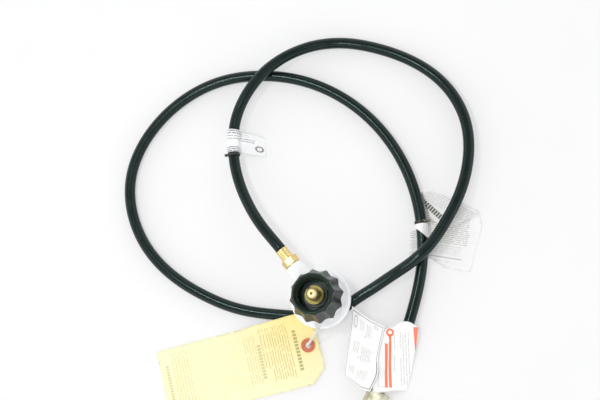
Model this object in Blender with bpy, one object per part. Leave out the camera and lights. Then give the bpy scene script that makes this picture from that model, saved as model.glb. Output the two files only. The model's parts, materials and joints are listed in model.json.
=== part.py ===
"""Low-pressure propane regulator with a hand wheel inlet, its hose, labels and tag.

The origin is the centre of the closing cap's flat face, on the table. +Z is the inlet axis,
upwards, and +Y is the direction in which the outlet leaves the regulator. Lengths are metres.
"""

import math

import bmesh
import bpy
import numpy as np
from mathutils import Euler, Matrix, Vector

MM = 0.001

# ---------------------------------------------------------------- driving sizes
GAP = 0.3 * MM                  # clearance between pieces that touch

# bonnet, under the body
CAP_HEIGHT = 3.0 * MM
CAP_SPIGOT = 0.6 * MM
TOWER_RADIUS = 9.0 * MM
TOWER_WALL = 1.8 * MM
CONE_RADIUS = 13.0 * MM
CONE_DROP = 3.3 * MM            # how far the cone hangs below the flange
FLANGE_RADIUS = 28.0 * MM
FLANGE_BASE = 14.5 * MM         # height of the bonnet flange's lower face
BONNET_FLANGE = 3.0 * MM
BONNET_WALL = 1.8 * MM
DIAPHRAGM_INSET = 5.8 * MM      # flange left outside the diaphragm, for the screws
DIAPHRAGM_RADIUS = FLANGE_RADIUS - DIAPHRAGM_INSET
DIAPHRAGM_SHEET = 0.8 * MM
DIAPHRAGM_SEAT = 2.2 * MM       # width of the clamped rim
POCKET_RADIUS = DIAPHRAGM_RADIUS - DIAPHRAGM_SEAT
VENT_RADIUS = 1.8 * MM
VENT_SCREEN = 0.6 * MM

# bonnet screws
SCREW_COUNT = 6
SCREW_SHANK = 1.6 * MM
SCREW_HEAD = 2.9 * MM
SCREW_HEAD_HEIGHT = 1.9 * MM
SCREW_BITE = 3.1 * MM           # depth in the body flange

# body
BODY_FLANGE = 4.2 * MM
POCKET_DEPTH = 2.5 * MM
CHAMBER_RADIUS = 14.0 * MM
CHAMBER_HEIGHT = 11.6 * MM
CEILING = 8.0 * MM              # solid between chamber and hub face
HUB_RADIUS = 16.5 * MM
HUB_STEP = 2.5 * MM
HUB_STEP_HEIGHT = 1.7 * MM
BOSS_RADIUS = 8.0 * MM
BOSS_ROOT_RADIUS = 8.6 * MM
BOSS_CLEARANCE = 1.1 * MM       # outlet boss above the flange's lower face
BOSS_END = 38.5 * MM
OUTLET_BORE = 4.0 * MM
PORT_DEPTH = 9.0 * MM

# valve works
TRAVEL = 1.6 * MM               # diaphragm travel from open to shut
POST_ARM = 6.5 * MM
PAD_ARM = 4.0 * MM
PIN_RADIUS = 0.65 * MM
BARREL_RADIUS = 1.7 * MM
LEVER_THICKNESS = 1.0 * MM
LEVER_HALF_WIDTH = 2.3 * MM
EAR_THICKNESS = 1.6 * MM
PIVOT_RISE = 6.1 * MM           # lever pin above the body's lower face
POST_CORE = 1.3 * MM
POST_COLLAR = 2.5 * MM
PLATE_RADIUS = 10.5 * MM
PLATE_THICKNESS = 1.0 * MM
CROWN = 0.6 * MM                # diaphragm centre above its rim at rest
ORIFICE_RADIUS = 2.3 * MM
ORIFICE_BORE = 1.0 * MM
ORIFICE_DROP = 2.2 * MM
PAD_RADIUS = 1.6 * MM
PAD_THICKNESS = 1.0 * MM
HOLDER_WALL = 0.4 * MM

# main spring and its adjuster
SPRING_WIRE = 1.4 * MM
SPRING_RADIUS = 5.6 * MM
SPRING_TURNS = 4.25
SEAT_THICKNESS = 1.0 * MM
ADJUSTER_HEIGHT = 2.1 * MM
ADJUSTER_SOCKET = 2.2 * MM
ADJUSTER_TRAVEL = 1.5 * MM

# inlet nipple
SPIGOT_RADIUS = 6.2 * MM
SPIGOT_DEPTH = 5.0 * MM
GALLERY_HEIGHT = 1.2 * MM
NIPPLE_FLANGE = 9.5 * MM
NIPPLE_FLANGE_HEIGHT = 1.8 * MM
NECK_RADIUS = 6.0 * MM
RING_GROOVE = 0.8 * MM
RING_THICKNESS = 1.0 * MM
RING_RADIUS = 8.6 * MM
RING_SPLIT = 3.0 * MM
NOSE_RADIUS = 5.6 * MM
NOSE_TIP_RADIUS = 3.4 * MM
NOSE_CONE = 3.0 * MM
NOSE_PROUD = 1.0 * MM           # nose tip above the hand wheel's mouth
NOSE_HOLE = 1.15 * MM
NIPPLE_BORE = 3.4 * MM

# flow limiter
POPPET_TRAVEL = 2.5 * MM
POPPET_RADIUS = 3.0 * MM
POPPET_HEAD = 3.0 * MM
POPPET_STEM = 1.2 * MM
POPPET_STEM_LENGTH = 5.6 * MM
RETAINER_HEIGHT = 3.0 * MM
LIMITER_WIRE = 0.5 * MM
LIMITER_SPRING_RADIUS = 2.25 * MM
LIMITER_TURNS = 6.0

# hand wheel
WHEEL_LIFT = 3.5 * MM           # axial play
WHEEL_CLEARANCE = 1.5 * MM      # base above the hub
WHEEL_HEIGHT = 26.0 * MM
WHEEL_RADIUS = 25.4 * MM
WHEEL_TOP_RADIUS = 20.4 * MM
WHEEL_FACE_RADIUS = 17.6 * MM
WHEEL_SHOULDER = 6.0 * MM
WHEEL_LOBES = 12
FLUTE_DEPTH = 2.6 * MM
FLOOR_THICKNESS = 4.0 * MM
FLOOR_CLEARANCE = 0.8 * MM
THREAD_MAJOR = 16.2 * MM
THREAD_MINOR = 14.2 * MM
THREAD_PITCH = 5.08 * MM
THREAD_TURNS = 3.2
BUSH_WALL = 1.3 * MM
BUSH_FLANGE = 11.2 * MM
BUSH_FLANGE_HEIGHT = 2.0 * MM

# hose and its end fittings
HOSE_RADIUS = 5.25 * MM
HOSE_POINTS = 74
PORT_THREAD = 6.4 * MM
HEX_FLATS = 14.3 * MM
HEX_LENGTH = 7.5 * MM
FERRULE_RADIUS = 5.9 * MM
FERRULE_WALL = 0.8 * MM
FERRULE_LENGTH = 10.4 * MM
TAIL_BORE = 3.3 * MM
STEM_BORE = 2.2 * MM
NUT_FLATS = 19.0 * MM
NUT_LENGTH = 18.7 * MM
NUT_THREAD = 7.6 * MM
NUT_WALL = 5.2 * MM             # thickness of the nut's rear wall
NUT_SETBACK = 2.0 * MM          # ferrule to nut
SHANK_RADIUS = 4.6 * MM
HEAD_LENGTH = 3.7 * MM

# labels and tag
BAND_SHEET = 0.35 * MM
LEAF_SHEET = 0.5 * MM
TIE_WIDTH = 2.5 * MM
TIE_THICKNESS = 0.6 * MM
TIE_HEAD = 3.0 * MM
TAG_LENGTH = 155.5 * MM
TAG_WIDTH = 66.7 * MM
TAG_CLIP = 13.0 * MM
TAG_SHEET = 0.5 * MM
TAG_SLOPE = 0.6
TAG_LIFT = 2.1 * MM             # eyelet end above the table, where the string passes under
EYELET_RADIUS = 6.6 * MM
EYELET_HOLE = 2.8 * MM
EYELET_SHEET = 0.5 * MM
EYELET_ALONG = 145.0 * MM
EYELET_ACROSS = 30.5 * MM
STRING_RADIUS = 0.65 * MM
KNOT_RADIUS = 1.9 * MM

# ---------------------------------------------------------------- worked-out levels
SHEET_BASE = FLANGE_BASE + BONNET_FLANGE + GAP
SHEET_TOP = SHEET_BASE + DIAPHRAGM_SHEET
BODY_BASE = SHEET_TOP + GAP
CEILING_BASE = BODY_BASE + CHAMBER_HEIGHT
HUB_TOP = CEILING_BASE + CEILING
OUTLET_HEIGHT = BODY_BASE + BOSS_RADIUS + BOSS_CLEARANCE
SCREW_CIRCLE = (DIAPHRAGM_RADIUS + FLANGE_RADIUS) / 2 - 0.15 * MM
TOWER_BORE = TOWER_RADIUS - TOWER_WALL
CONE_BASE = FLANGE_BASE - CONE_DROP

PIVOT_HEIGHT = BODY_BASE + PIVOT_RISE
PIVOT_Y = -POST_ARM
PAD_Y = PIVOT_Y - PAD_ARM
REST_TILT = math.asin(TRAVEL / POST_ARM)

NIPPLE_BASE = HUB_TOP - SPIGOT_DEPTH + GAP
NIPPLE_FLANGE_TOP = HUB_TOP + GAP + NIPPLE_FLANGE_HEIGHT
WHEEL_BASE = HUB_TOP + WHEEL_CLEARANCE
WHEEL_TOP = WHEEL_BASE + WHEEL_HEIGHT
FLOOR_BASE = NIPPLE_FLANGE_TOP + FLOOR_CLEARANCE
FLOOR_TOP = FLOOR_BASE + FLOOR_THICKNESS
BUSH_TOP = FLOOR_TOP + GAP + BUSH_FLANGE_HEIGHT
RING_BASE = BUSH_TOP + WHEEL_LIFT + GAP
NOSE_TIP = WHEEL_TOP + NOSE_PROUD
NOSE_SHOULDER = NOSE_TIP - NOSE_CONE

HEX_BASE = BOSS_END + GAP
HEX_END = HEX_BASE + HEX_LENGTH
FERRULE_BASE = HEX_END + GAP
FERRULE_END = FERRULE_BASE + FERRULE_LENGTH
TAIL_RADIUS = FERRULE_RADIUS - FERRULE_WALL - GAP
STEM_RADIUS = TAIL_BORE - GAP
HOSE_START = FERRULE_END + GAP

# Hose route, in millimetres, from the regulator's ferrule to the far-end ferrule. It rises
# over itself twice and passes under the body's flange beside the spring tower.
ROUTE_MM = [
    (-0.7, 86.0, 25.4), (2.2, 116.7, 19.2), (10.4, 145.8, 14.2), (25.3, 172.3, 12.2),
    (46.7, 193.0, 13.4), (73.7, 204.7, 15.8), (91.5, 208.0, 16.5), (109.0, 208.3, 15.2),
    (139.1, 202.5, 9.6), (167.9, 185.2, 6.2), (190.6, 158.8, 5.25), (217.3, 82.6, 7.0),
    (208.5, 43.8, 9.0), (186.9, 14.5, 11.2), (161.4, -4.9, 14.0), (133.2, -18.1, 16.6),
    (99.0, -26.7, 17.6), (81.0, -26.3, 14.8), (62.1, -23.9, 10.6), (42.1, -21.5, 7.4),
    (23.6, -19.1, 5.9), (8.8, -18.0, 5.25), (-10.8, -11.4, 5.25), (-26.2, 1.4, 5.25),
    (-47.5, 21.6, 5.25), (-68.2, 44.6, 5.25), (-85.2, 73.2, 5.25), (-97.4, 104.0, 5.25),
    (-103.0, 150.6, 5.25), (-75.9, 214.2, 5.25), (-14.1, 242.9, 5.25), (58.4, 231.9, 5.25),
    (84.8, 214.7, 5.25), (118.0, 177.9, 5.25), (143.1, 103.4, 5.25), (131.3, 26.5, 5.8),
    (115.4, -4.0, 6.4), (95.2, -30.0, 6.2), (51.7, -65.3, 6.3), (30.5, -78.5, 7.6),
]
FAR_END_MM = (0.1, -93.2, 9.5)
FAR_HEADING = math.atan2(-0.449, -0.893)      # direction of the far fitting on the table

# Where the labels sit, as arc lengths along the hose, in millimetres.
LABEL_SPAN_MM = (113.6, 136.4)
LABEL_TIE_MM = 110.4
LEAF_BAND_MM = (1369.2, 1381.2)
LEAF_TIE_MM = 1365.7
END_BAND_MM = (1486.8, 1496.8)


# ---------------------------------------------------------------- materials
def finish(name, colour, roughness, metallic=0.0):
    """A Principled material with one plain colour."""
    material = bpy.data.materials.new(name)
    material.use_nodes = True
    shader = material.node_tree.nodes["Principled BSDF"]
    shader.inputs["Base Color"].default_value = (*colour, 1.0)
    shader.inputs["Roughness"].default_value = roughness
    shader.inputs["Metallic"].default_value = metallic
    return material


GREY_PAINT = ((0.66, 0.68, 0.70), 0.38, 0.0)
BRASS = ((0.76, 0.58, 0.26), 0.28, 1.0)
STEEL = ((0.60, 0.60, 0.61), 0.35, 1.0)
BLACK_PLASTIC = ((0.022, 0.026, 0.026), 0.30, 0.0)
BLACK_RUBBER = ((0.016, 0.020, 0.020), 0.42, 0.0)
SEAL_RUBBER = ((0.035, 0.035, 0.035), 0.60, 0.0)
WHITE_PAPER = ((0.86, 0.87, 0.87), 0.55, 0.0)
YELLOW_CARD = ((0.93, 0.85, 0.50), 0.75, 0.0)
RED_FIBRE = ((0.62, 0.16, 0.09), 0.75, 0.0)
WHITE_STRING = ((0.82, 0.82, 0.78), 0.85, 0.0)
OLIVE_TIE = ((0.20, 0.20, 0.13), 0.45, 0.0)


# ---------------------------------------------------------------- shape helpers
def add_object(name, mesh, look, parent=None):
    """Link a mesh as a named object with its own material."""
    obj = bpy.data.objects.new(name, mesh)
    bpy.context.scene.collection.objects.link(obj)
    if look:
        mesh.materials.append(finish(name, *look))
    obj.parent = parent
    return obj


def mesh_from(name, verts, faces, smooth=True):
    """A closed mesh with its faces turned outwards."""
    mesh = bpy.data.meshes.new(name)
    shape = bmesh.new()
    points = [shape.verts.new(v) for v in verts]
    for face in faces:
        shape.faces.new([points[i] for i in face])
    bmesh.ops.recalc_face_normals(shape, faces=shape.faces)
    shape.to_mesh(mesh)
    shape.free()
    if smooth:
        mesh.shade_smooth()
        mesh.set_sharp_from_angle(angle=math.radians(35))
    return mesh


def turned_mesh(name, outline, sides):
    """Revolve a closed outline of (radius, height) pairs about local Z."""
    verts = []
    rings = []
    for radius, height in outline:
        if radius <= 0:
            rings.append([len(verts)] * sides)
            verts.append((0.0, 0.0, height))
            continue
        rings.append(list(range(len(verts), len(verts) + sides)))
        for i in range(sides):
            angle = 2 * math.pi * i / sides
            verts.append((radius * math.cos(angle), radius * math.sin(angle), height))
    faces = []
    for k, ring in enumerate(rings):
        following = rings[(k + 1) % len(rings)]
        for i in range(sides):
            j = (i + 1) % sides
            corners = [ring[i], ring[j], following[j], following[i]]
            face = list(dict.fromkeys(corners))
            if len(face) > 2:
                faces.append(face)
    return mesh_from(name, verts, faces)


def turned(name, outline, look, sides=32, parent=None):
    """A turned piece as an object."""
    return add_object(name, turned_mesh(name, outline, sides), look, parent)


def prism_mesh(name, outline, bottom, top):
    """Extrude a flat outline of (x, y) pairs between two heights."""
    count = len(outline)
    verts = [(x, y, bottom) for x, y in outline] + [(x, y, top) for x, y in outline]
    faces = [list(range(count)), list(range(count, 2 * count))]
    for i in range(count):
        j = (i + 1) % count
        faces.append([i, j, count + j, count + i])
    return mesh_from(name, verts, faces, smooth=False)


def hexagon(flats):
    """Corners of a hexagon with two flats facing +Y and -Y."""
    corner = flats / 2 / math.cos(math.pi / 6)
    return [(corner * math.cos(math.pi * i / 3), corner * math.sin(math.pi * i / 3))
            for i in range(6)]


def rectangle(x0, x1, y0, y1):
    """Corners of a rectangle."""
    return [(x0, y0), (x1, y0), (x1, y1), (x0, y1)]


def tool(name, mesh, parent=None):
    """A hidden shape used only to cut or join."""
    obj = add_object(name, mesh, None, parent)
    obj.hide_render = True
    obj.display_type = 'WIRE'
    return obj


def combine(target, other, operation):
    """Boolean a hidden shape with a piece."""
    modifier = target.modifiers.new(other.name, 'BOOLEAN')
    modifier.operation = operation
    modifier.solver = 'EXACT'
    modifier.object = other


def cut(target, name, mesh, parent=None):
    """Cut a hidden shape out of a piece."""
    other = tool(name, mesh, parent)
    combine(target, other, 'DIFFERENCE')
    return other


def join(target, name, mesh, parent=None):
    """Add a hidden shape to a piece."""
    other = tool(name, mesh, parent)
    combine(target, other, 'UNION')
    return other


def rod_mesh(name, radius, bottom, top, sides=20):
    """A plain cylinder."""
    return turned_mesh(name, [(0, bottom), (radius, bottom), (radius, top), (0, top)], sides)


def axis_frame(name, origin, rotation):
    """An empty that carries pieces along its local Z."""
    frame = bpy.data.objects.new(name, None)
    bpy.context.scene.collection.objects.link(frame)
    frame.location = origin
    frame.rotation_euler = rotation
    return frame


def swept_mesh(name, points, radius, sides, closed=False):
    """A tube of one radius along a list of points."""
    path = [Vector(p) for p in points]
    count = len(path)
    verts = []
    normal = None
    for i, point in enumerate(path):
        before = path[i - 1] if closed or i > 0 else path[0]
        after = path[(i + 1) % count] if closed or i < count - 1 else path[-1]
        tangent = (after - before).normalized()
        if normal is None:
            normal = tangent.orthogonal().normalized()
        normal = (normal - tangent * normal.dot(tangent)).normalized()
        side = tangent.cross(normal)
        for k in range(sides):
            angle = 2 * math.pi * k / sides
            verts.append(point + (normal * math.cos(angle) + side * math.sin(angle)) * radius)
    faces = []
    for i in range(count - 1):
        for k in range(sides):
            n = (k + 1) % sides
            faces.append([i * sides + k, i * sides + n, (i + 1) * sides + n, (i + 1) * sides + k])
    faces.append(list(range(sides)))
    faces.append(list(range((count - 1) * sides, count * sides)))
    return mesh_from(name, verts, faces)


def coil_points(radius, bottom, top, turns, steps):
    """Centre line of a helical spring between two heights."""
    total = int(turns * steps)
    points = []
    for i in range(total + 1):
        angle = 2 * math.pi * i / steps
        height = bottom + (top - bottom) * i / total
        points.append((radius * math.cos(angle), radius * math.sin(angle), height))
    return points


def print_coil_gap(name, radius, bottom, top, turns, wire):
    """Say how far the turns of a spring are from each other."""
    pitch = (top - bottom) / turns
    lead = math.atan2(pitch, 2 * math.pi * radius)
    print(name, "least gap between turns, mm:", round((pitch * math.cos(lead) - wire) / MM, 2))


def sheet_mesh(name, rows, thickness):
    """A closed sheet of one thickness about a grid of middle points."""
    grid = [[Vector(p) for p in row] for row in rows]
    tall = len(grid)
    wide = len(grid[0])
    normals = []
    for i in range(tall):
        line = []
        for j in range(wide):
            down = grid[min(i + 1, tall - 1)][j] - grid[max(i - 1, 0)][j]
            over = grid[i][min(j + 1, wide - 1)] - grid[i][max(j - 1, 0)]
            line.append(down.cross(over).normalized() * (thickness / 2))
        normals.append(line)
    verts = []
    for sign in (1, -1):
        for i in range(tall):
            for j in range(wide):
                verts.append(grid[i][j] + normals[i][j] * sign)
    half = tall * wide
    faces = []
    for i in range(tall - 1):
        for j in range(wide - 1):
            a = i * wide + j
            quad = [a, a + 1, a + wide + 1, a + wide]
            faces.append(quad)
            faces.append([v + half for v in quad])
    border = [j for j in range(wide)]
    border += [i * wide + wide - 1 for i in range(1, tall)]
    border += [(tall - 1) * wide + j for j in range(wide - 2, -1, -1)]
    border += [i * wide for i in range(tall - 2, 0, -1)]
    for k, a in enumerate(border):
        b = border[(k + 1) % len(border)]
        faces.append([a, b, b + half, a + half])
    return mesh_from(name, verts, faces)


# ---------------------------------------------------------------- hose route
def clamped_spline(knots, values, slope_start, slope_end):
    """Second derivatives of a cubic spline with given end slopes."""
    count = len(knots)
    step = np.diff(knots)
    matrix = np.zeros((count, count))
    right = np.zeros(count)
    matrix[0, :2] = (2 * step[0], step[0])
    right[0] = 6 * ((values[1] - values[0]) / step[0] - slope_start)
    matrix[-1, -2:] = (step[-1], 2 * step[-1])
    right[-1] = 6 * (slope_end - (values[-1] - values[-2]) / step[-1])
    for i in range(1, count - 1):
        matrix[i, i - 1:i + 2] = (step[i - 1], 2 * (step[i - 1] + step[i]), step[i])
        rise = (values[i + 1] - values[i]) / step[i]
        fall = (values[i] - values[i - 1]) / step[i - 1]
        right[i] = 6 * (rise - fall)
    return np.linalg.solve(matrix, right)


def spline_at(knots, values, bends, where):
    """Read the cubic spline at the given places."""
    index = np.clip(np.searchsorted(knots, where) - 1, 0, len(knots) - 2)
    step = knots[index + 1] - knots[index]
    left = (knots[index + 1] - where) / step
    right = 1 - left
    curve = (left ** 3 - left) * bends[index] + (right ** 3 - right) * bends[index + 1]
    return left * values[index] + right * values[index + 1] + curve * step ** 2 / 6


def level_at(knots, values, where):
    """Heights along the route, without overshoot between its points."""
    step = np.diff(knots)
    slope = np.diff(values) / step
    tangent = np.zeros(len(values))
    for i in range(1, len(values) - 1):
        if slope[i - 1] * slope[i] > 0:
            tangent[i] = 2 * slope[i - 1] * slope[i] / (slope[i - 1] + slope[i])
    index = np.clip(np.searchsorted(knots, where) - 1, 0, len(knots) - 2)
    t = (where - knots[index]) / step[index]
    start = (2 * t ** 3 - 3 * t ** 2 + 1) * values[index]
    end = (3 * t ** 2 - 2 * t ** 3) * values[index + 1]
    out = (t ** 3 - 2 * t ** 2 + t) * step[index] * tangent[index]
    back = (t ** 3 - t ** 2) * step[index] * tangent[index + 1]
    return start + end + out + back


def smooth_route():
    """Fine points of the hose's centre line, and their arc lengths."""
    points = [(0.0, HOSE_START, OUTLET_HEIGHT)]
    points += [(x * MM, y * MM, z * MM) for x, y, z in ROUTE_MM]
    points.append(tuple(v * MM for v in FAR_END_MM))
    points = np.array(points)
    knots = np.concatenate([[0], np.cumsum(np.linalg.norm(np.diff(points, axis=0), axis=1))])
    where = np.linspace(0, knots[-1], 6000)
    heading = (math.cos(FAR_HEADING), math.sin(FAR_HEADING))
    x = spline_at(knots, points[:, 0], clamped_spline(knots, points[:, 0], 0.0, heading[0]), where)
    y = spline_at(knots, points[:, 1], clamped_spline(knots, points[:, 1], 1.0, heading[1]), where)
    fine = np.stack([x, y, level_at(knots, points[:, 2], where)], axis=1)
    length = np.concatenate([[0], np.cumsum(np.linalg.norm(np.diff(fine, axis=0), axis=1))])
    return fine, length


def hose_route():
    """The stations that the hose is built on: points and their distances from its start."""
    fine, length = smooth_route()
    lead = 3 * MM
    evenly = np.linspace(lead, length[-1] - lead, HOSE_POINTS)
    distances = np.array([0.0, *evenly, length[-1]])
    points = np.column_stack([np.interp(distances, length, fine[:, k]) for k in range(3)])
    return points, distances


def point_at(route, distance):
    """Point and forward direction at an arc length along the hose."""
    points, distances = route
    place = [float(np.interp(distance, distances, points[:, k])) for k in range(3)]
    reach = 1.0 * MM
    ahead = [float(np.interp(distance + reach, distances, points[:, k])) for k in range(3)]
    behind = [float(np.interp(distance - reach, distances, points[:, k])) for k in range(3)]
    return Vector(place), (Vector(ahead) - Vector(behind)).normalized()


def right_of(tangent):
    """Horizontal direction to the right of the hose as it runs forward."""
    return tangent.cross(Vector((0, 0, 1))).normalized()


def band_mesh(name, route, span, inner, outer, sides=16):
    """A ring of sheet that follows the hose between two arc lengths."""
    inside = [float(d) for d in route[1] if span[0] + MM < d < span[1] - MM]
    distances = [span[0], *inside, span[1]]
    stations = len(distances)
    verts = []
    for distance in distances:
        place, tangent = point_at(route, distance)
        side = right_of(tangent)
        up = side.cross(tangent)
        for radius in (outer, inner):
            for k in range(sides):
                angle = 2 * math.pi * k / sides
                verts.append(place + (side * math.cos(angle) + up * math.sin(angle)) * radius)
    faces = []
    ring = 2 * sides
    for i in range(stations):
        for k in range(sides):
            n = (k + 1) % sides
            a = i * ring
            if i in (0, stations - 1):
                faces.append([a + k, a + n, a + sides + n, a + sides + k])
            if i < stations - 1:
                b = a + ring
                faces.append([a + k, a + n, b + n, b + k])
                faces.append([a + sides + k, a + sides + n, b + sides + n, b + sides + k])
    return mesh_from(name, verts, faces)


# ---------------------------------------------------------------- bonnet
def ring_spots(count, radius, start=0.0):
    """Places evenly round a circle."""
    return [(radius * math.cos(start + 2 * math.pi * i / count),
             radius * math.sin(start + 2 * math.pi * i / count)) for i in range(count)]


def shifted(mesh, x, y):
    """Move a mesh sideways."""
    mesh.transform(Matrix.Translation((x, y, 0)))
    return mesh


def screw_hole(name, bottom, top, x, y):
    """Clearance hole for a bonnet screw, one flat towards the inlet axis."""
    hole = rod_mesh(name, SCREW_SHANK + GAP, bottom, top, 12)
    hole.transform(Matrix.Rotation(math.pi / 12, 4, 'Z'))
    return shifted(hole, x, y)


def make_bonnet():
    """Flange, cone and spring tower in one die casting, open at both ends."""
    recess = DIAPHRAGM_RADIUS + GAP
    seat = FLANGE_BASE + BONNET_FLANGE
    bowl = seat - 1.5 * MM
    bowl_foot = CONE_BASE + BONNET_WALL
    outline = [
        (TOWER_BORE, CAP_HEIGHT + GAP), (TOWER_RADIUS, CAP_HEIGHT + GAP),
        (TOWER_RADIUS, CONE_BASE - 0.8 * MM), (TOWER_RADIUS + 0.8 * MM, CONE_BASE),
        (CONE_RADIUS, CONE_BASE), (POCKET_RADIUS + 0.6 * MM, FLANGE_BASE),
        (FLANGE_RADIUS - 0.6 * MM, FLANGE_BASE), (FLANGE_RADIUS, FLANGE_BASE + 0.6 * MM),
        (FLANGE_RADIUS, SHEET_TOP), (recess, SHEET_TOP), (recess, seat), (POCKET_RADIUS, seat),
        (POCKET_RADIUS, bowl), (CONE_RADIUS - 1.0 * MM, bowl_foot), (TOWER_BORE, bowl_foot),
    ]
    bonnet = turned("bonnet", outline, GREY_PAINT, sides=40)
    for i, (x, y) in enumerate(ring_spots(SCREW_COUNT, SCREW_CIRCLE, math.pi / 6)):
        name = f"bonnet_hole_{i}"
        cut(bonnet, name, screw_hole(name, FLANGE_BASE - MM, BODY_BASE + MM, x, y))
    vent = (CONE_RADIUS + POCKET_RADIUS) / 2
    hole = rod_mesh("vent_hole", VENT_RADIUS, CONE_BASE - MM, FLANGE_BASE + 2 * MM, 12)
    cut(bonnet, "vent_hole", shifted(hole, -vent, 0))
    base = (CONE_BASE + FLANGE_BASE) / 2 + 0.4 * MM
    screen = rod_mesh("vent_screen", VENT_RADIUS - GAP, base, base + VENT_SCREEN, 12)
    add_object("vent_screen", shifted(screen, -vent, 0), STEEL)


def make_cap():
    """Closing cap of the spring tower; its flat face stands on the table."""
    spigot = TOWER_BORE - GAP
    outline = [
        (0, 0), (TOWER_RADIUS - 0.6 * MM, 0), (TOWER_RADIUS, 0.6 * MM), (TOWER_RADIUS, CAP_HEIGHT),
        (spigot, CAP_HEIGHT), (spigot, CAP_HEIGHT + CAP_SPIGOT), (0, CAP_HEIGHT + CAP_SPIGOT),
    ]
    turned("bonnet_cap", outline, BLACK_PLASTIC)


def make_screws():
    """Screws up through the bonnet flange into the body."""
    head_top = FLANGE_BASE - GAP
    head_base = head_top - SCREW_HEAD_HEIGHT
    outline = [
        (0, head_base + 1.0 * MM), (1.1 * MM, head_base), (SCREW_HEAD - 0.7 * MM, head_base),
        (SCREW_HEAD, head_top), (SCREW_SHANK, head_top), (SCREW_SHANK, BODY_BASE + SCREW_BITE),
        (0, BODY_BASE + SCREW_BITE),
    ]
    for i, (x, y) in enumerate(ring_spots(SCREW_COUNT, SCREW_CIRCLE, math.pi / 6)):
        screw = turned(f"bonnet_screw_{i + 1}", outline, STEEL, sides=12)
        screw.location = (x, y, 0)


# ---------------------------------------------------------------- body
def make_body(outlet):
    """Die-cast body: flange, hub and outlet boss, with the chamber cut from below."""
    step = HUB_RADIUS - HUB_STEP
    flange_top = BODY_BASE + BODY_FLANGE
    outline = [
        (0, BODY_BASE - MM), (FLANGE_RADIUS, BODY_BASE - MM), (FLANGE_RADIUS, flange_top - 1.2 * MM),
        (FLANGE_RADIUS - 0.4 * MM, flange_top - 0.4 * MM), (FLANGE_RADIUS - 1.2 * MM, flange_top),
        (POCKET_RADIUS + 2.5 * MM, flange_top), (HUB_RADIUS + 1.5 * MM, flange_top + 1.6 * MM),
        (HUB_RADIUS, flange_top + 3.6 * MM), (HUB_RADIUS, HUB_TOP - HUB_STEP_HEIGHT),
        (step, HUB_TOP - HUB_STEP_HEIGHT), (step, HUB_TOP), (0, HUB_TOP),
    ]
    body = turned("regulator_body", outline, GREY_PAINT, sides=40)
    start = CHAMBER_RADIUS + 1.0 * MM
    boss = [
        (0, start), (BOSS_ROOT_RADIUS, start), (BOSS_ROOT_RADIUS, POCKET_RADIUS),
        (BOSS_RADIUS + 0.5 * MM, BOSS_END - 7 * MM), (BOSS_RADIUS, BOSS_END - 3 * MM),
        (BOSS_RADIUS, BOSS_END - 0.5 * MM), (BOSS_RADIUS - 0.5 * MM, BOSS_END), (0, BOSS_END),
    ]
    join(body, "outlet_boss", turned_mesh("outlet_boss", boss, 24), outlet)
    hollow = [
        (0, 0), (2 * FLANGE_RADIUS, 0), (2 * FLANGE_RADIUS, BODY_BASE), (POCKET_RADIUS, BODY_BASE),
        (POCKET_RADIUS, BODY_BASE + POCKET_DEPTH), (CHAMBER_RADIUS, BODY_BASE + POCKET_DEPTH),
        (CHAMBER_RADIUS, CEILING_BASE), (0, CEILING_BASE),
    ]
    cut(body, "body_hollow", turned_mesh("body_hollow", hollow, 36))
    for i, (x, y) in enumerate(ring_spots(SCREW_COUNT, SCREW_CIRCLE, math.pi / 6)):
        name = f"body_hole_{i}"
        top = BODY_BASE + SCREW_BITE + GAP
        cut(body, name, screw_hole(name, BODY_BASE - 2 * MM, top, x, y))

    inner = LEVER_HALF_WIDTH + GAP
    for side, name in ((1, "lever_ear_right"), (-1, "lever_ear_left")):
        ear = rectangle(side * inner, side * (inner + EAR_THICKNESS),
                        PIVOT_Y - BARREL_RADIUS, PIVOT_Y + BARREL_RADIUS)
        bottom = PIVOT_HEIGHT - BARREL_RADIUS
        join(body, name, prism_mesh(name, ear, bottom, CEILING_BASE + MM))
    reach = inner + EAR_THICKNESS + MM
    pin_hole = rod_mesh("pin_hole", PIN_RADIUS + GAP, -reach, reach, 12)
    pin_hole.transform(Matrix.Rotation(math.pi / 2, 4, 'Y'))
    pin_hole.transform(Matrix.Translation((0, PIVOT_Y, PIVOT_HEIGHT)))
    cut(body, "pin_hole", pin_hole)

    bore = SPIGOT_RADIUS + GAP
    gallery_top = HUB_TOP - SPIGOT_DEPTH
    gallery_base = gallery_top - GALLERY_HEIGHT
    cut(body, "nipple_bore", rod_mesh("nipple_bore", bore, gallery_top, HUB_TOP + MM, 24))
    width = ORIFICE_RADIUS - 0.6 * MM
    slot = rectangle(-width, width, PAD_Y - width, 2 * MM)
    cut(body, "gallery", prism_mesh("gallery", slot, gallery_base, gallery_top + 0.4 * MM))
    shaft = rod_mesh("orifice_hole", ORIFICE_RADIUS - 0.4 * MM, CEILING_BASE - MM,
                     gallery_base + 0.3 * MM, 16)
    cut(body, "orifice_hole", shifted(shaft, 0, PAD_Y))

    port = PORT_THREAD + GAP
    port_base = BOSS_END - PORT_DEPTH
    channel = [
        (0, CHAMBER_RADIUS - MM), (OUTLET_BORE, CHAMBER_RADIUS - MM), (OUTLET_BORE, port_base),
        (port, port_base), (port, BOSS_END + MM), (0, BOSS_END + MM),
    ]
    cut(body, "outlet_channel", turned_mesh("outlet_channel", channel, 24), outlet)


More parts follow.
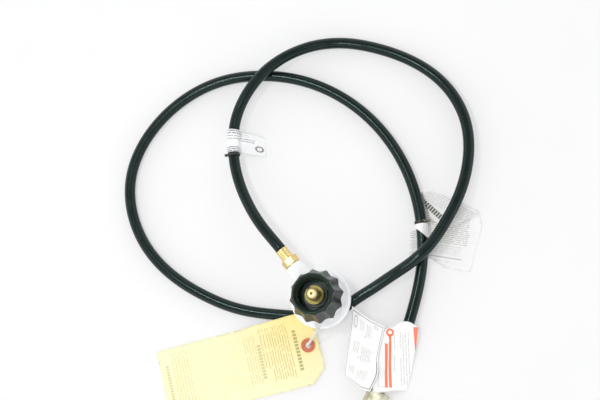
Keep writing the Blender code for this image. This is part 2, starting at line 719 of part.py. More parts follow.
# ---------------------------------------------------------------- valve works
def make_diaphragm():
    """Rubber diaphragm, raised at its centre, with plates and post."""
    rim = SHEET_BASE
    crown = SHEET_BASE + CROWN
    inner = PLATE_RADIUS + 0.5 * MM
    fold = (inner + POCKET_RADIUS) / 2
    hole = POST_CORE + GAP
    outline = [
        (hole, crown), (inner, crown), (fold, rim + 0.15 * MM), (POCKET_RADIUS, rim),
        (DIAPHRAGM_RADIUS, rim), (DIAPHRAGM_RADIUS, rim + DIAPHRAGM_SHEET),
        (POCKET_RADIUS, rim + DIAPHRAGM_SHEET), (fold, rim + DIAPHRAGM_SHEET + 0.15 * MM),
        (inner, crown + DIAPHRAGM_SHEET), (hole, crown + DIAPHRAGM_SHEET),
    ]
    turned("diaphragm", outline, SEAL_RUBBER, sides=28)

    plate_top = crown - GAP
    ring = [
        (hole, plate_top - PLATE_THICKNESS), (PLATE_RADIUS, plate_top - PLATE_THICKNESS),
        (PLATE_RADIUS, plate_top), (hole, plate_top),
    ]
    turned("diaphragm_plate", ring, STEEL, sides=24)

    washer = crown + DIAPHRAGM_SHEET + GAP
    groove = PIVOT_HEIGHT + TRAVEL
    half = LEVER_THICKNESS / 2 + LEVER_HALF_WIDTH * math.sin(REST_TILT) + GAP
    foot = plate_top - PLATE_THICKNESS - GAP
    post = [
        (0, foot - 0.5 * MM), (POST_COLLAR, foot - 0.5 * MM), (POST_COLLAR, foot), (POST_CORE, foot),
        (POST_CORE, washer), (PLATE_RADIUS - 1.5 * MM, washer),
        (PLATE_RADIUS - 1.5 * MM, washer + 0.8 * MM), (POST_COLLAR, washer + 0.8 * MM),
        (POST_COLLAR, groove - half), (POST_CORE, groove - half), (POST_CORE, groove + half),
        (POST_COLLAR, groove + half), (POST_COLLAR, groove + half + 0.8 * MM),
        (0, groove + half + 0.8 * MM),
    ]
    turned("diaphragm_post", post, BRASS, sides=20)
    return foot - 0.5 * MM, plate_top - PLATE_THICKNESS


def make_lever():
    """Lever on its pin, tipped to the open position, with the valve pad in its cup."""
    hinge = axis_frame("lever_axis", (0, PIVOT_Y, PIVOT_HEIGHT), (REST_TILT, 0, 0))
    half = LEVER_THICKNESS / 2
    end = POST_ARM + POST_COLLAR
    strip = rectangle(-LEVER_HALF_WIDTH, LEVER_HALF_WIDTH, -PAD_ARM - PAD_RADIUS, end)
    lever = add_object("lever", prism_mesh("lever", strip, -half, half), STEEL, hinge)
    barrel = rod_mesh("lever_barrel", BARREL_RADIUS, -LEVER_HALF_WIDTH, LEVER_HALF_WIDTH, 20)
    barrel.transform(Matrix.Rotation(math.pi / 2, 4, 'Y'))
    join(lever, "lever_barrel", barrel, hinge)
    eye = rod_mesh("lever_eye", PIN_RADIUS + GAP, -2 * LEVER_HALF_WIDTH, 2 * LEVER_HALF_WIDTH, 12)
    eye.transform(Matrix.Rotation(math.pi / 2, 4, 'Y'))
    cut(lever, "lever_eye", eye, hinge)
    fork = POST_CORE + GAP
    slot = rectangle(-fork, fork, POST_ARM - fork - 0.2 * MM, end + MM)
    cut(lever, "lever_fork", prism_mesh("lever_fork", slot, -2 * half, 2 * half), hinge)

    reach = LEVER_HALF_WIDTH + GAP + EAR_THICKNESS - 0.2 * MM
    pin = rod_mesh("lever_pin", PIN_RADIUS, -reach, reach, 12)
    pin.transform(Matrix.Rotation(math.pi / 2, 4, 'Y'))
    add_object("lever_pin", pin, STEEL).location = (0, PIVOT_Y, PIVOT_HEIGHT)

    floor = half + GAP
    cup = PAD_RADIUS + GAP + HOLDER_WALL
    lip = floor + 0.5 * MM + 0.6 * PAD_THICKNESS
    outline = [
        (0, floor), (cup, floor), (cup, lip), (PAD_RADIUS + GAP, lip),
        (PAD_RADIUS + GAP, floor + 0.5 * MM), (0, floor + 0.5 * MM),
    ]
    holder = turned("valve_pad_holder", outline, BRASS, sides=20, parent=hinge)
    holder.location = (0, -PAD_ARM, 0)
    pad_base = floor + 0.5 * MM + GAP
    pad = rod_mesh("valve_pad", PAD_RADIUS, pad_base, pad_base + PAD_THICKNESS, 20)
    add_object("valve_pad", pad, SEAL_RUBBER, hinge).location = (0, -PAD_ARM, 0)
    return PIVOT_HEIGHT + pad_base + PAD_THICKNESS


def make_orifice(pad_top):
    """Brass jet pressed into the ceiling; the shut pad stops just below it."""
    shaft = ORIFICE_RADIUS - 0.4 * MM - GAP
    seat = pad_top + GAP
    top = CEILING_BASE + 1.5 * MM
    outline = [
        (ORIFICE_BORE, seat), (ORIFICE_BORE + 0.4 * MM, seat), (ORIFICE_RADIUS, seat + 0.6 * MM),
        (ORIFICE_RADIUS, CEILING_BASE - GAP), (shaft, CEILING_BASE - GAP), (shaft, top),
        (ORIFICE_BORE, top),
    ]
    turned("inlet_orifice", outline, BRASS, sides=20).location = (0, PAD_Y, 0)


def make_spring(plate_under):
    """Main spring with its seat and adjusting screw inside the tower."""
    base = CAP_HEIGHT + CAP_SPIGOT + GAP
    screw_top = base + ADJUSTER_HEIGHT
    outline = [
        (0, base), (TOWER_BORE - GAP, base), (TOWER_BORE - GAP, screw_top),
        (0.8 * MM, screw_top), (0, screw_top - 0.4 * MM),
    ]
    screw = turned("adjusting_screw", outline, BRASS, sides=24)
    socket = prism_mesh("adjuster_socket", hexagon(2 * ADJUSTER_SOCKET), base - MM, base + 1.2 * MM)
    cut(screw, "adjuster_socket", socket)

    seat_base = screw_top + GAP
    seat_top = seat_base + SEAT_THICKNESS
    pilot = SPRING_RADIUS - SPRING_WIRE / 2 - GAP
    outline = [
        (0, seat_base), (SPRING_RADIUS + SPRING_WIRE / 2, seat_base),
        (SPRING_RADIUS + SPRING_WIRE / 2, seat_top), (pilot, seat_top),
        (pilot - 0.4 * MM, seat_top + 0.8 * MM), (0, seat_top + 0.8 * MM),
    ]
    turned("spring_seat", outline, STEEL, sides=24)

    low = seat_top + GAP + SPRING_WIRE / 2
    high = plate_under - GAP - SPRING_WIRE / 2
    points = coil_points(SPRING_RADIUS, low, high, SPRING_TURNS, 12)
    add_object("main_spring", swept_mesh("main_spring", points, SPRING_WIRE / 2, 6), STEEL)
    print_coil_gap("main_spring", SPRING_RADIUS, low, high, SPRING_TURNS, SPRING_WIRE)


# ---------------------------------------------------------------- inlet
def make_nipple():
    """Brass inlet nipple with its nose, and the flow limiter in its bore."""
    flange_base = HUB_TOP + GAP
    groove = NECK_RADIUS - RING_GROOVE
    groove_top = RING_BASE + RING_THICKNESS + GAP
    outline = [
        (NIPPLE_BORE, NIPPLE_BASE), (SPIGOT_RADIUS, NIPPLE_BASE), (SPIGOT_RADIUS, flange_base),
        (NIPPLE_FLANGE, flange_base), (NIPPLE_FLANGE, NIPPLE_FLANGE_TOP),
        (NECK_RADIUS, NIPPLE_FLANGE_TOP), (NECK_RADIUS, RING_BASE - GAP),
        (groove, RING_BASE - GAP), (groove, groove_top), (NOSE_RADIUS, groove_top),
        (NOSE_RADIUS, NOSE_SHOULDER), (NOSE_TIP_RADIUS, NOSE_TIP), (NOSE_HOLE, NOSE_TIP),
        (NOSE_HOLE, NOSE_SHOULDER - MM), (NIPPLE_BORE, NOSE_SHOULDER - 2 * MM),
    ]
    turned("inlet_nipple", outline, BRASS, sides=28)

    inner = groove + GAP
    ring = [
        (inner, RING_BASE), (RING_RADIUS, RING_BASE), (RING_RADIUS, RING_BASE + RING_THICKNESS),
        (inner, RING_BASE + RING_THICKNESS),
    ]
    snap = turned("snap_ring", ring, STEEL, sides=24)
    half = RING_SPLIT / 2
    split = rectangle(-half, half, 0, 2 * RING_RADIUS)
    cut(snap, "ring_split", prism_mesh("ring_split", split, RING_BASE - MM, RING_BASE + 3 * MM))

    head_top = NOSE_SHOULDER - 2 * MM - GAP
    head_base = head_top - POPPET_HEAD
    stem_end = head_base - POPPET_STEM_LENGTH
    outline = [
        (0, stem_end), (POPPET_STEM, stem_end), (POPPET_STEM, head_base),
        (POPPET_RADIUS, head_base), (POPPET_RADIUS, head_top - 0.8 * MM),
        (POPPET_RADIUS - 0.8 * MM, head_top), (0, head_top),
    ]
    turned("limiter_poppet", outline, BRASS, sides=20)
    seat_top = stem_end - POPPET_TRAVEL - GAP
    outline = [
        (ORIFICE_BORE, seat_top - RETAINER_HEIGHT), (NIPPLE_BORE - GAP, seat_top - RETAINER_HEIGHT),
        (NIPPLE_BORE - GAP, seat_top), (ORIFICE_BORE, seat_top),
    ]
    turned("limiter_retainer", outline, BRASS, sides=20)
    low = seat_top + GAP + LIMITER_WIRE / 2
    high = head_base - GAP - LIMITER_WIRE / 2
    points = coil_points(LIMITER_SPRING_RADIUS, low, high, LIMITER_TURNS, 8)
    mesh = swept_mesh("limiter_spring", points, LIMITER_WIRE / 2, 5)
    add_object("limiter_spring", mesh, STEEL)
    print_coil_gap("limiter_spring", LIMITER_SPRING_RADIUS, low, high, LIMITER_TURNS, LIMITER_WIRE)


def make_bush():
    """Heat-sensitive bush that holds the hand wheel on the nipple."""
    inner = NECK_RADIUS + GAP + 0.1 * MM
    sleeve = inner + BUSH_WALL
    outline = [
        (inner, NIPPLE_FLANGE_TOP + GAP), (sleeve, NIPPLE_FLANGE_TOP + GAP),
        (sleeve, FLOOR_TOP + GAP), (BUSH_FLANGE, FLOOR_TOP + GAP), (BUSH_FLANGE, BUSH_TOP),
        (inner, BUSH_TOP),
    ]
    turned("heat_bush", outline, BLACK_PLASTIC, sides=28)
    return sleeve + GAP


def wheel_radius(angle, height):
    """Outer radius of the lobed grip at an angle and a height."""
    share = (height - WHEEL_BASE) / (WHEEL_HEIGHT - WHEEL_SHOULDER)
    rim = WHEEL_RADIUS + (WHEEL_TOP_RADIUS - WHEEL_RADIUS) * min(share, 1.0)
    if height > WHEEL_TOP - WHEEL_SHOULDER:
        climb = (height - WHEEL_TOP + WHEEL_SHOULDER) / WHEEL_SHOULDER
        rim += (WHEEL_FACE_RADIUS - WHEEL_TOP_RADIUS) * climb ** 1.4
    phase = abs(math.sin(WHEEL_LOBES * angle / 2))
    arch = 1.0 - min(max((height - WHEEL_TOP + 1.2 * WHEEL_SHOULDER) / WHEEL_SHOULDER, 0), 1)
    return rim - FLUTE_DEPTH * arch * phase ** 1.3


def make_wheel(hole):
    """Ribbed hand wheel with its coarse internal thread."""
    columns = 5 * WHEEL_LOBES
    skirt = NIPPLE_FLANGE + 1.0 * MM
    levels = [0.0, 1.0, 17.5, 20.0, 22.0, 24.0, 25.3, 26.0]
    levels = [WHEEL_BASE + WHEEL_HEIGHT * v / levels[-1] for v in levels]
    rings = []
    for level in levels:
        tuck = 0.6 * MM if level == levels[0] else 0.0
        rings.append([(wheel_radius(2 * math.pi * i / columns, level) - tuck, level)
                      for i in range(columns)])
    inner = [
        (THREAD_MAJOR + 0.3 * MM, WHEEL_TOP), (THREAD_MAJOR, WHEEL_TOP - 0.8 * MM),
        (THREAD_MAJOR, FLOOR_TOP), (hole, FLOOR_TOP), (hole, FLOOR_BASE), (skirt, FLOOR_BASE),
        (skirt, WHEEL_BASE),
    ]
    for radius, level in inner:
        rings.append([(radius, level)] * columns)
    verts = []
    for ring in rings:
        for i, (radius, level) in enumerate(ring):
            angle = 2 * math.pi * i / columns
            verts.append((radius * math.cos(angle), radius * math.sin(angle), level))
    faces = []
    count = len(rings)
    for k in range(count):
        n = (k + 1) % count
        for i in range(columns):
            j = (i + 1) % columns
            faces.append([k * columns + i, k * columns + j, n * columns + j, n * columns + i])
    wheel = add_object("hand_wheel", mesh_from("hand_wheel", verts, faces), BLACK_PLASTIC)
    join(wheel, "wheel_thread", thread_mesh())


def thread_mesh():
    """Trapezoid ridge wound inside the wheel, its root sunk in the wall."""
    steps = 24
    total = int(THREAD_TURNS * steps)
    crest = 0.37 * THREAD_PITCH / 2
    root = 0.62 * THREAD_PITCH / 2
    start = WHEEL_TOP - 1.2 * MM - root - THREAD_TURNS * THREAD_PITCH
    sunk = THREAD_MAJOR + 0.5 * MM
    verts = []
    for i in range(total + 1):
        angle = 2 * math.pi * i / steps
        middle = start + THREAD_PITCH * i / steps
        for radius, offset in ((sunk, -root), (THREAD_MINOR, -crest), (THREAD_MINOR, crest),
                               (sunk, root)):
            verts.append((radius * math.cos(angle), radius * math.sin(angle), middle + offset))
    faces = [[0, 1, 2, 3], [4 * total + k for k in range(4)]]
    for i in range(total):
        for k in range(4):
            n = (k + 1) % 4
            faces.append([4 * i + k, 4 * i + n, 4 * i + 4 + n, 4 * i + 4 + k])
    return mesh_from("wheel_thread", verts, faces, smooth=False)


# ---------------------------------------------------------------- hose ends
def make_outlet_fitting(outlet):
    """Hose insert in the outlet boss, ferrule and the hose tail crimped in it."""
    thread_base = BOSS_END - PORT_DEPTH + GAP
    stem_end = FERRULE_END - 1.0 * MM
    outline = [
        (0, thread_base), (PORT_THREAD - 0.4 * MM, thread_base), (PORT_THREAD, HEX_BASE),
        (PORT_THREAD, HEX_END - GAP), (STEM_RADIUS, HEX_END - GAP), (STEM_RADIUS, stem_end),
        (0, stem_end),
    ]
    insert = turned("hose_insert", outline, BRASS, sides=24, parent=outlet)
    join(insert, "insert_hex", prism_mesh("insert_hex", hexagon(HEX_FLATS), HEX_BASE, HEX_END), outlet)
    bore = rod_mesh("insert_bore", STEM_BORE, thread_base - MM, stem_end + MM, 16)
    cut(insert, "insert_bore", bore, outlet)
    make_ferrule("ferrule_regulator_end", "hose_tail_regulator_end", FERRULE_BASE, outlet, 1)


def make_ferrule(name, tail_name, base, parent, way):
    """Crimped ferrule with the hose tail inside it, open towards the free hose."""
    end = base + way * FERRULE_LENGTH
    inner = FERRULE_RADIUS - FERRULE_WALL
    lip = way * 0.8 * MM
    crimp = inner + FERRULE_WALL - 0.35 * MM
    outline = [
        (TAIL_BORE, base), (FERRULE_RADIUS, base), (FERRULE_RADIUS, base + way * 2 * MM),
        (crimp, base + way * 2.6 * MM), (crimp, end - way * 1.8 * MM),
        (FERRULE_RADIUS, end - way * 1.0 * MM), (FERRULE_RADIUS, end), (inner, end),
        (inner, base + lip), (TAIL_BORE, base + lip),
    ]
    turned(name, outline, BRASS, sides=20, parent=parent)
    tail_base = base + lip + way * GAP
    outline = [
        (TAIL_BORE, tail_base), (TAIL_RADIUS, tail_base), (TAIL_RADIUS, end), (TAIL_BORE, end),
    ]
    turned(tail_name, outline, BLACK_RUBBER, sides=16, parent=parent)


def make_far_fitting(far):
    """Ferrule, insert with its seat, and swivel nut; local Z runs out of the hose."""
    ferrule_end = GAP + FERRULE_LENGTH
    make_ferrule("ferrule_far_end", "hose_tail_far_end", ferrule_end, far, -1)
    collar = ferrule_end + GAP
    nut_base = ferrule_end + NUT_SETBACK + GAP
    head_base = nut_base + NUT_WALL + GAP
    head_end = head_base + HEAD_LENGTH
    head = NUT_THREAD - GAP
    outline = [
        (0, GAP + 1.0 * MM), (STEM_RADIUS, GAP + 1.0 * MM), (STEM_RADIUS, collar),
        (FERRULE_RADIUS - 0.4 * MM, collar), (FERRULE_RADIUS - 0.4 * MM, nut_base - 2 * GAP),
        (SHANK_RADIUS, nut_base - GAP), (SHANK_RADIUS, head_base), (head, head_base),
        (head, head_end), (head - 1.0 * MM, head_end), (STEM_BORE + 0.6 * MM, head_base + MM),
        (0, head_base + MM),
    ]
    insert = turned("flare_insert", outline, BRASS, sides=24, parent=far)
    bore = rod_mesh("flare_bore", STEM_BORE, -MM, head_end + MM, 16)
    cut(insert, "flare_bore", bore, far)

    nut_end = nut_base + NUT_LENGTH
    nut_mesh = prism_mesh("flare_nut", hexagon(NUT_FLATS), nut_base, nut_end)
    nut = add_object("flare_nut", nut_mesh, BRASS, far)
    hollow = [
        (0, nut_base - MM), (SHANK_RADIUS + GAP, nut_base - MM),
        (SHANK_RADIUS + GAP, nut_base + NUT_WALL), (NUT_THREAD, nut_base + NUT_WALL),
        (NUT_THREAD, nut_end - MM), (NUT_THREAD + MM, nut_end + 0.01 * MM),
        (NUT_THREAD + MM, nut_end + MM), (0, nut_end + MM),
    ]
    cut(nut, "nut_hollow", turned_mesh("nut_hollow", hollow, 24), far)
    corner = NUT_FLATS / 2 / math.cos(math.pi / 6)
    chamfer = [
        (0, nut_base), (NUT_FLATS / 2 - 0.4 * MM, nut_base), (corner + 0.2 * MM, nut_base + 2 * MM),
        (corner + 0.2 * MM, nut_end - 2 * MM), (NUT_FLATS / 2 - 0.4 * MM, nut_end), (0, nut_end),
    ]
    shell = tool("nut_chamfer", turned_mesh("nut_chamfer", chamfer, 36), far)
    combine(nut, shell, 'INTERSECT')


def make_hose(route):
    """The free hose as one tube from ferrule to ferrule."""
    points, distances = route
    curve = bpy.data.curves.new("hose", 'CURVE')
    curve.dimensions = '3D'
    curve.bevel_depth = HOSE_RADIUS
    curve.bevel_resolution = 4
    curve.use_fill_caps = True
    spline = curve.splines.new('POLY')
    spline.points.add(len(points) - 1)
    for station, place in zip(spline.points, points):
        station.co = (*(float(v) for v in place), 1.0)
    hose = bpy.data.objects.new("hose", curve)
    bpy.context.scene.collection.objects.link(hose)
    curve.materials.append(finish("hose", *BLACK_RUBBER))
    print("free hose length, mm:", round(float(distances[-1]) / MM, 1))


# ---------------------------------------------------------------- labels
def tie(name, route, start, side_sign, look):
    """Thin tie round the hose with its small head at one side."""
    inner = HOSE_RADIUS + GAP
    outer = inner + TIE_THICKNESS
    span = (start, start + TIE_WIDTH)
    ring = add_object(name, band_mesh(name, route, span, inner, outer, 16), look)
    place, tangent = point_at(route, start + TIE_WIDTH / 2)
    side = right_of(tangent) * side_sign
    up = Vector((0, 0, 1))
    head = bmesh.new()
    bmesh.ops.create_cube(head, size=1.0)
    mesh = bpy.data.meshes.new(name + "_head")
    head.to_mesh(mesh)
    head.free()
    centre = place + side * (inner + 0.3 * MM + TIE_HEAD / 2) + up * 0.5 * MM
    turn = Matrix((side, tangent, up)).transposed().to_4x4()
    size = Matrix.Diagonal((TIE_HEAD, TIE_WIDTH * 0.9, TIE_HEAD * 0.8, 1))
    mesh.transform(Matrix.Translation(centre) @ turn @ size)
    join(ring, name + "_head", mesh)


def make_hose_label(route):
    """Wrapped label: a band round the hose and a flag that hangs to the table."""
    inner = HOSE_RADIUS + GAP
    span = tuple(v * MM for v in LABEL_SPAN_MM)
    band = band_mesh("hose_label", route, span, inner, inner + BAND_SHEET)
    label = add_object("hose_label", band, WHITE_PAPER)
    middle = inner + BAND_SHEET * 0.55
    far_edge = [(53.0, 160.7), (44.2, 144.9)]
    rows = []
    rank = 5
    for i in range(rank):
        share = i / (rank - 1)
        place, tangent = point_at(route, span[1] - 3 * MM - (span[1] - span[0] - 4 * MM) * share)
        start = place + right_of(tangent) * middle
        x = (far_edge[0][0] + (far_edge[1][0] - far_edge[0][0]) * share) * MM
        y = (far_edge[0][1] + (far_edge[1][1] - far_edge[0][1]) * share) * MM
        end = Vector((x, y, BAND_SHEET / 2 + 0.05 * MM))
        row = []
        for k in range(6):
            t = k / 5
            point = start.lerp(end, t)
            point.z = start.z + (end.z - start.z) * t ** 1.25
            row.append(point)
        rows.append(row)
    join(label, "label_flag", sheet_mesh("label_flag", rows, BAND_SHEET))
    tie("hose_label_tie", route, LABEL_TIE_MM * MM, -1, BLACK_PLASTIC)


def make_middle_leaflet(route):
    """Leaflet wrapped round the hose half way, its leaves flat on the table."""
    inner = HOSE_RADIUS + GAP
    span = tuple(v * MM for v in LEAF_BAND_MM)
    start, tangent = point_at(route, span[0])
    start += right_of(tangent) * -3.6 * MM
    outline = [
        (143.2, 15.7), (157.5, -11.5), (164.0, -26.7), (158.0, -40.0), (122.0, -65.8),
        (106.7, -48.4), (102.8, -34.3), (89.3, -17.0), (103.1, -1.5),
    ]
    outline = [(x * MM, y * MM) for x, y in outline]
    for distance in (span[0], span[0] - 15 * MM, span[0] - 30 * MM):
        place, tangent = point_at(route, distance)
        place -= right_of(tangent) * 3.6 * MM
        outline.append((place.x, place.y))
    base = 0.1 * MM
    mesh = prism_mesh("leaflet_middle", outline, base, base + LEAF_SHEET)
    leaflet = add_object("leaflet_middle", mesh, WHITE_PAPER)
    band = band_mesh("leaflet_band", route, span, inner, inner + BAND_SHEET)
    join(leaflet, "leaflet_band", band)
    tie("leaflet_middle_tie", route, LEAF_TIE_MM * MM, -1, OLIVE_TIE)


def ridge_points(route, span, clearance):
    """Top of the hose between two arc lengths, as rows of x, y and clear height."""
    points, distances = route
    where = np.arange(max(span[0], 0.0), min(span[1], distances[-1]), MM)
    x, y, z = (np.interp(where, distances, points[:, k]) for k in range(3))
    return np.column_stack([x, y, z + HOSE_RADIUS + clearance])


def over_ridge(ridge, x, y, slope):
    """Height of a sheet that leans on the ridge and falls away to both sides."""
    reach = np.hypot(ridge[:, 0] - x, ridge[:, 1] - y)
    rest = 0.42 * HOSE_RADIUS
    return float(np.max(ridge[:, 2] - slope * np.maximum(reach - rest, 0.0)))


def blend(a, b, t):
    """Point or number between two others."""
    if isinstance(a, tuple):
        return tuple(u + (v - u) * t for u, v in zip(a, b))
    return a + (b - a) * t


def make_end_leaflet(route):
    """Leaflet folded over the last stretch of hose and its ferrule, held by a band."""
    clearance = 2 * GAP + 0.15 * MM + LEAF_SHEET / 2
    ridge = ridge_points(route, (1440 * MM, 1600 * MM), clearance)
    start = Vector(tuple(v * MM for v in FAR_END_MM))
    heading = Vector((math.cos(FAR_HEADING), math.sin(FAR_HEADING), 0))
    steps = np.linspace(0, FERRULE_LENGTH + 2 * GAP, 12)
    top = start.z + FERRULE_RADIUS + clearance
    tube = np.array([(start.x + heading.x * s, start.y + heading.y * s, top) for s in steps])
    corner_rest = ridge_points(route, (645 * MM, 675 * MM), clearance)
    ridge = np.vstack([ridge, tube, corner_rest])

    left = ((18.1, -22.8, 10.0), (-27.7, -64.9, 3.0))
    fold = ((31.8, -58.8, 13.0), (-13.8, -92.0, 14.5))
    right = ((52.1, -75.5, 1.2), (9.3, -113.9, 0.6))
    stations = (0.0, 0.12, 0.25, 0.4, 0.55, 0.7, 0.85, 0.93, 1.0)
    rows = []
    for s in stations:
        a, f, b = (blend(line[0], line[1], s) for line in (left, fold, right))
        crossing = [blend(f, b, t / 60) for t in range(61)]
        reach = [np.hypot(ridge[:, 0] - p[0] * MM, ridge[:, 1] - p[1] * MM).min() for p in crossing]
        crest = max(int(np.argmin(reach)), 4) / 60
        half = 4.2 / math.hypot(b[0] - f[0], b[1] - f[1])
        line = [a, blend(a, f, 0.35), blend(a, f, 0.7), f]
        line += [blend(f, b, t) for t in (max(crest - half, 0.03), crest, crest + half)]
        line += [blend(f, b, blend(crest + half, 1.0, 0.5)), b]
        row = []
        for x, y, z in line:
            row.append((x * MM, y * MM, max(z * MM, over_ridge(ridge, x * MM, y * MM, 0.9))))
        rows.append(row)
    leaflet = add_object("leaflet_end", sheet_mesh("leaflet_end", rows, LEAF_SHEET), WHITE_PAPER)
    inner = HOSE_RADIUS + GAP
    span = tuple(v * MM for v in END_BAND_MM)
    band = band_mesh("end_band", route, span, inner, inner + 2 * BAND_SHEET)
    join(leaflet, "end_band", band)


# ---------------------------------------------------------------- tag
TAG_CORNER = Vector((-156.8 * MM, 64.2 * MM, 0))
TAG_ALONG = Vector((0.9095, -0.4155, 0)).normalized()
TAG_ACROSS = Vector((-TAG_ALONG.y, TAG_ALONG.x, 0)) * -1


def tag_lift(along):
    """Middle height of the bare card, a little raised at its eyelet end."""
    rise = TAG_LIFT * min(max((along / TAG_LENGTH - 0.4) / 0.4, 0.0), 1.0)
    return TAG_SHEET / 2 + 0.1 * MM + rise


def make_tag(route):
    """Card tag with clipped corners, its eyelet patch, string and knot."""
    columns = [TAG_LENGTH * share for share in (0, 0.25, 0.5, 0.6, 0.7, 0.77, 0.82, 0.87)]
    columns += [TAG_LENGTH - TAG_CLIP * share for share in (1.0, 0.75, 0.5, 0.25, 0.0)]
    shares = (0, 0.04, 0.09, 0.15, 0.24, 0.36, 0.52, 0.68, 0.84, 1.0)
    ridge = ridge_points(route, (640 * MM, 760 * MM), GAP + 0.15 * MM + TAG_SHEET / 2)
    rows = []
    for along in columns:
        clip = max(0.0, along - (TAG_LENGTH - TAG_CLIP))
        row = []
        for share in shares:
            across = clip + (TAG_WIDTH - 2 * clip) * share
            spot = TAG_CORNER + TAG_ALONG * along + TAG_ACROSS * across
            drape = over_ridge(ridge, spot.x, spot.y, TAG_SLOPE)
            row.append((spot.x, spot.y, max(tag_lift(along), drape)))
        rows.append(row)
    card = add_object("tag_card", sheet_mesh("tag_card", rows, TAG_SHEET), YELLOW_CARD)

    centre = TAG_CORNER + TAG_ALONG * EYELET_ALONG + TAG_ACROSS * EYELET_ACROSS
    hole = rod_mesh("tag_hole", EYELET_HOLE, -MM, 12 * MM, 16)
    cut(card, "tag_hole", shifted(hole, centre.x, centre.y))
    base = tag_lift(EYELET_ALONG) + TAG_SHEET / 2 + GAP
    outline = [
        (EYELET_HOLE, base), (EYELET_RADIUS, base), (EYELET_RADIUS, base + EYELET_SHEET),
        (EYELET_HOLE, base + EYELET_SHEET),
    ]
    eyelet = turned("tag_eyelet", outline, RED_FIBRE, sides=28)
    eyelet.location = (centre.x, centre.y, 0)
    make_string(centre, base)


def make_string(eyelet, level):
    """Loop round the hub, knot at the flange's rim, and two strands to the eyelet."""
    radius = HUB_RADIUS - HUB_STEP + GAP + STRING_RADIUS
    height = HUB_TOP - HUB_STEP_HEIGHT + GAP + STRING_RADIUS
    heading = math.atan2(-20.9, -18.5)
    out = Vector((math.cos(heading), math.sin(heading), 0))
    side = Vector((-out.y, out.x, 0))
    rim_top = BODY_BASE + BODY_FLANGE
    knot = out * (FLANGE_RADIUS + 0.6 * MM) + Vector((0, 0, rim_top + KNOT_RADIUS + GAP))

    reach = KNOT_RADIUS + GAP
    spread = math.radians(14)
    loop = []
    begin = knot - out * reach + side * 0.9 * MM
    finish_point = knot - out * reach - side * 0.9 * MM
    loop.append(begin)
    edge = HUB_RADIUS + GAP + STRING_RADIUS + 0.4 * MM
    shoulder = Vector((math.cos(heading + spread / 2), math.sin(heading + spread / 2), 0))
    loop.append(shoulder * edge + Vector((0, 0, height + 0.1 * MM)))
    steps = 26
    for i in range(steps + 1):
        angle = heading + spread + (2 * math.pi - 2 * spread) * i / steps
        loop.append(Vector((radius * math.cos(angle), radius * math.sin(angle), height)))
    shoulder = Vector((math.cos(heading - spread / 2), math.sin(heading - spread / 2), 0))
    loop.append(shoulder * edge + Vector((0, 0, height + 0.1 * MM)))
    loop.append(finish_point)
    add_object("string_loop", swept_mesh("string_loop", loop, STRING_RADIUS, 6), WHITE_STRING)

    ball = bmesh.new()
    bmesh.ops.create_icosphere(ball, subdivisions=2, radius=KNOT_RADIUS)
    mesh = bpy.data.meshes.new("string_knot")
    ball.to_mesh(mesh)
    ball.free()
    mesh.shade_smooth()
    add_object("string_knot", mesh, WHITE_STRING).location = knot

    top = Vector((eyelet.x, eyelet.y, level + EYELET_SHEET + STRING_RADIUS + GAP))
    away = (top - knot).normalized()
    begin = knot + away * reach + side * 0.3 * MM
    under = 0.1 * MM + STRING_RADIUS
    end_edge = eyelet + TAG_ALONG * (TAG_LENGTH - EYELET_ALONG + STRING_RADIUS + 2 * GAP)
    tail = [
        begin, begin.lerp(top, 0.35), begin.lerp(top, 0.7),
        top + Vector((0, 0, 0.6 * MM)), Vector((eyelet.x, eyelet.y, level - 0.2 * MM)),
        Vector((eyelet.x, eyelet.y, under)) + TAG_ALONG * 1.2 * MM,
        Vector((end_edge.x, end_edge.y, under)) - TAG_ALONG * 2.0 * MM,
        Vector((end_edge.x, end_edge.y, under + 1.2 * MM)),
    ]
    add_object("string_tail", swept_mesh("string_tail", tail, STRING_RADIUS, 6), WHITE_STRING)


# ---------------------------------------------------------------- assembly
def clear_scene():
    """Remove what the new file came with."""
    for obj in list(bpy.data.objects):
        bpy.data.objects.remove(obj, do_unlink=True)


def build():
    """Make every piece."""
    clear_scene()
    outlet = axis_frame("outlet_axis", (0, 0, OUTLET_HEIGHT), (-math.pi / 2, 0, 0))
    far_place = Vector(v * MM for v in FAR_END_MM)
    far = axis_frame("far_axis", far_place, (-math.pi / 2, 0, FAR_HEADING - math.pi / 2))
    route = hose_route()

    make_bonnet()
    make_cap()
    make_screws()
    make_body(outlet)
    plate_under = make_diaphragm()[1]
    pad_top = make_lever()
    make_orifice(pad_top)
    make_spring(plate_under)
    make_nipple()
    make_wheel(make_bush())
    make_outlet_fitting(outlet)
    make_far_fitting(far)
    make_hose(route)
    make_hose_label(route)
    make_middle_leaflet(route)
    make_end_leaflet(route)
    make_tag(route)


build()
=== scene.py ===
"""Looks of the propane regulator hose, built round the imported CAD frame.

Lengths are metres in the CAD frame: +Z is the inlet axis, +Y the way the outlet leaves.
Outlines of turned pieces, nets of paper and printed marks are in millimetres.
"""
import json
import math
from functools import partialmethod

import bmesh
import bpy
import numpy as np
from mathutils import Matrix, Vector, geometry


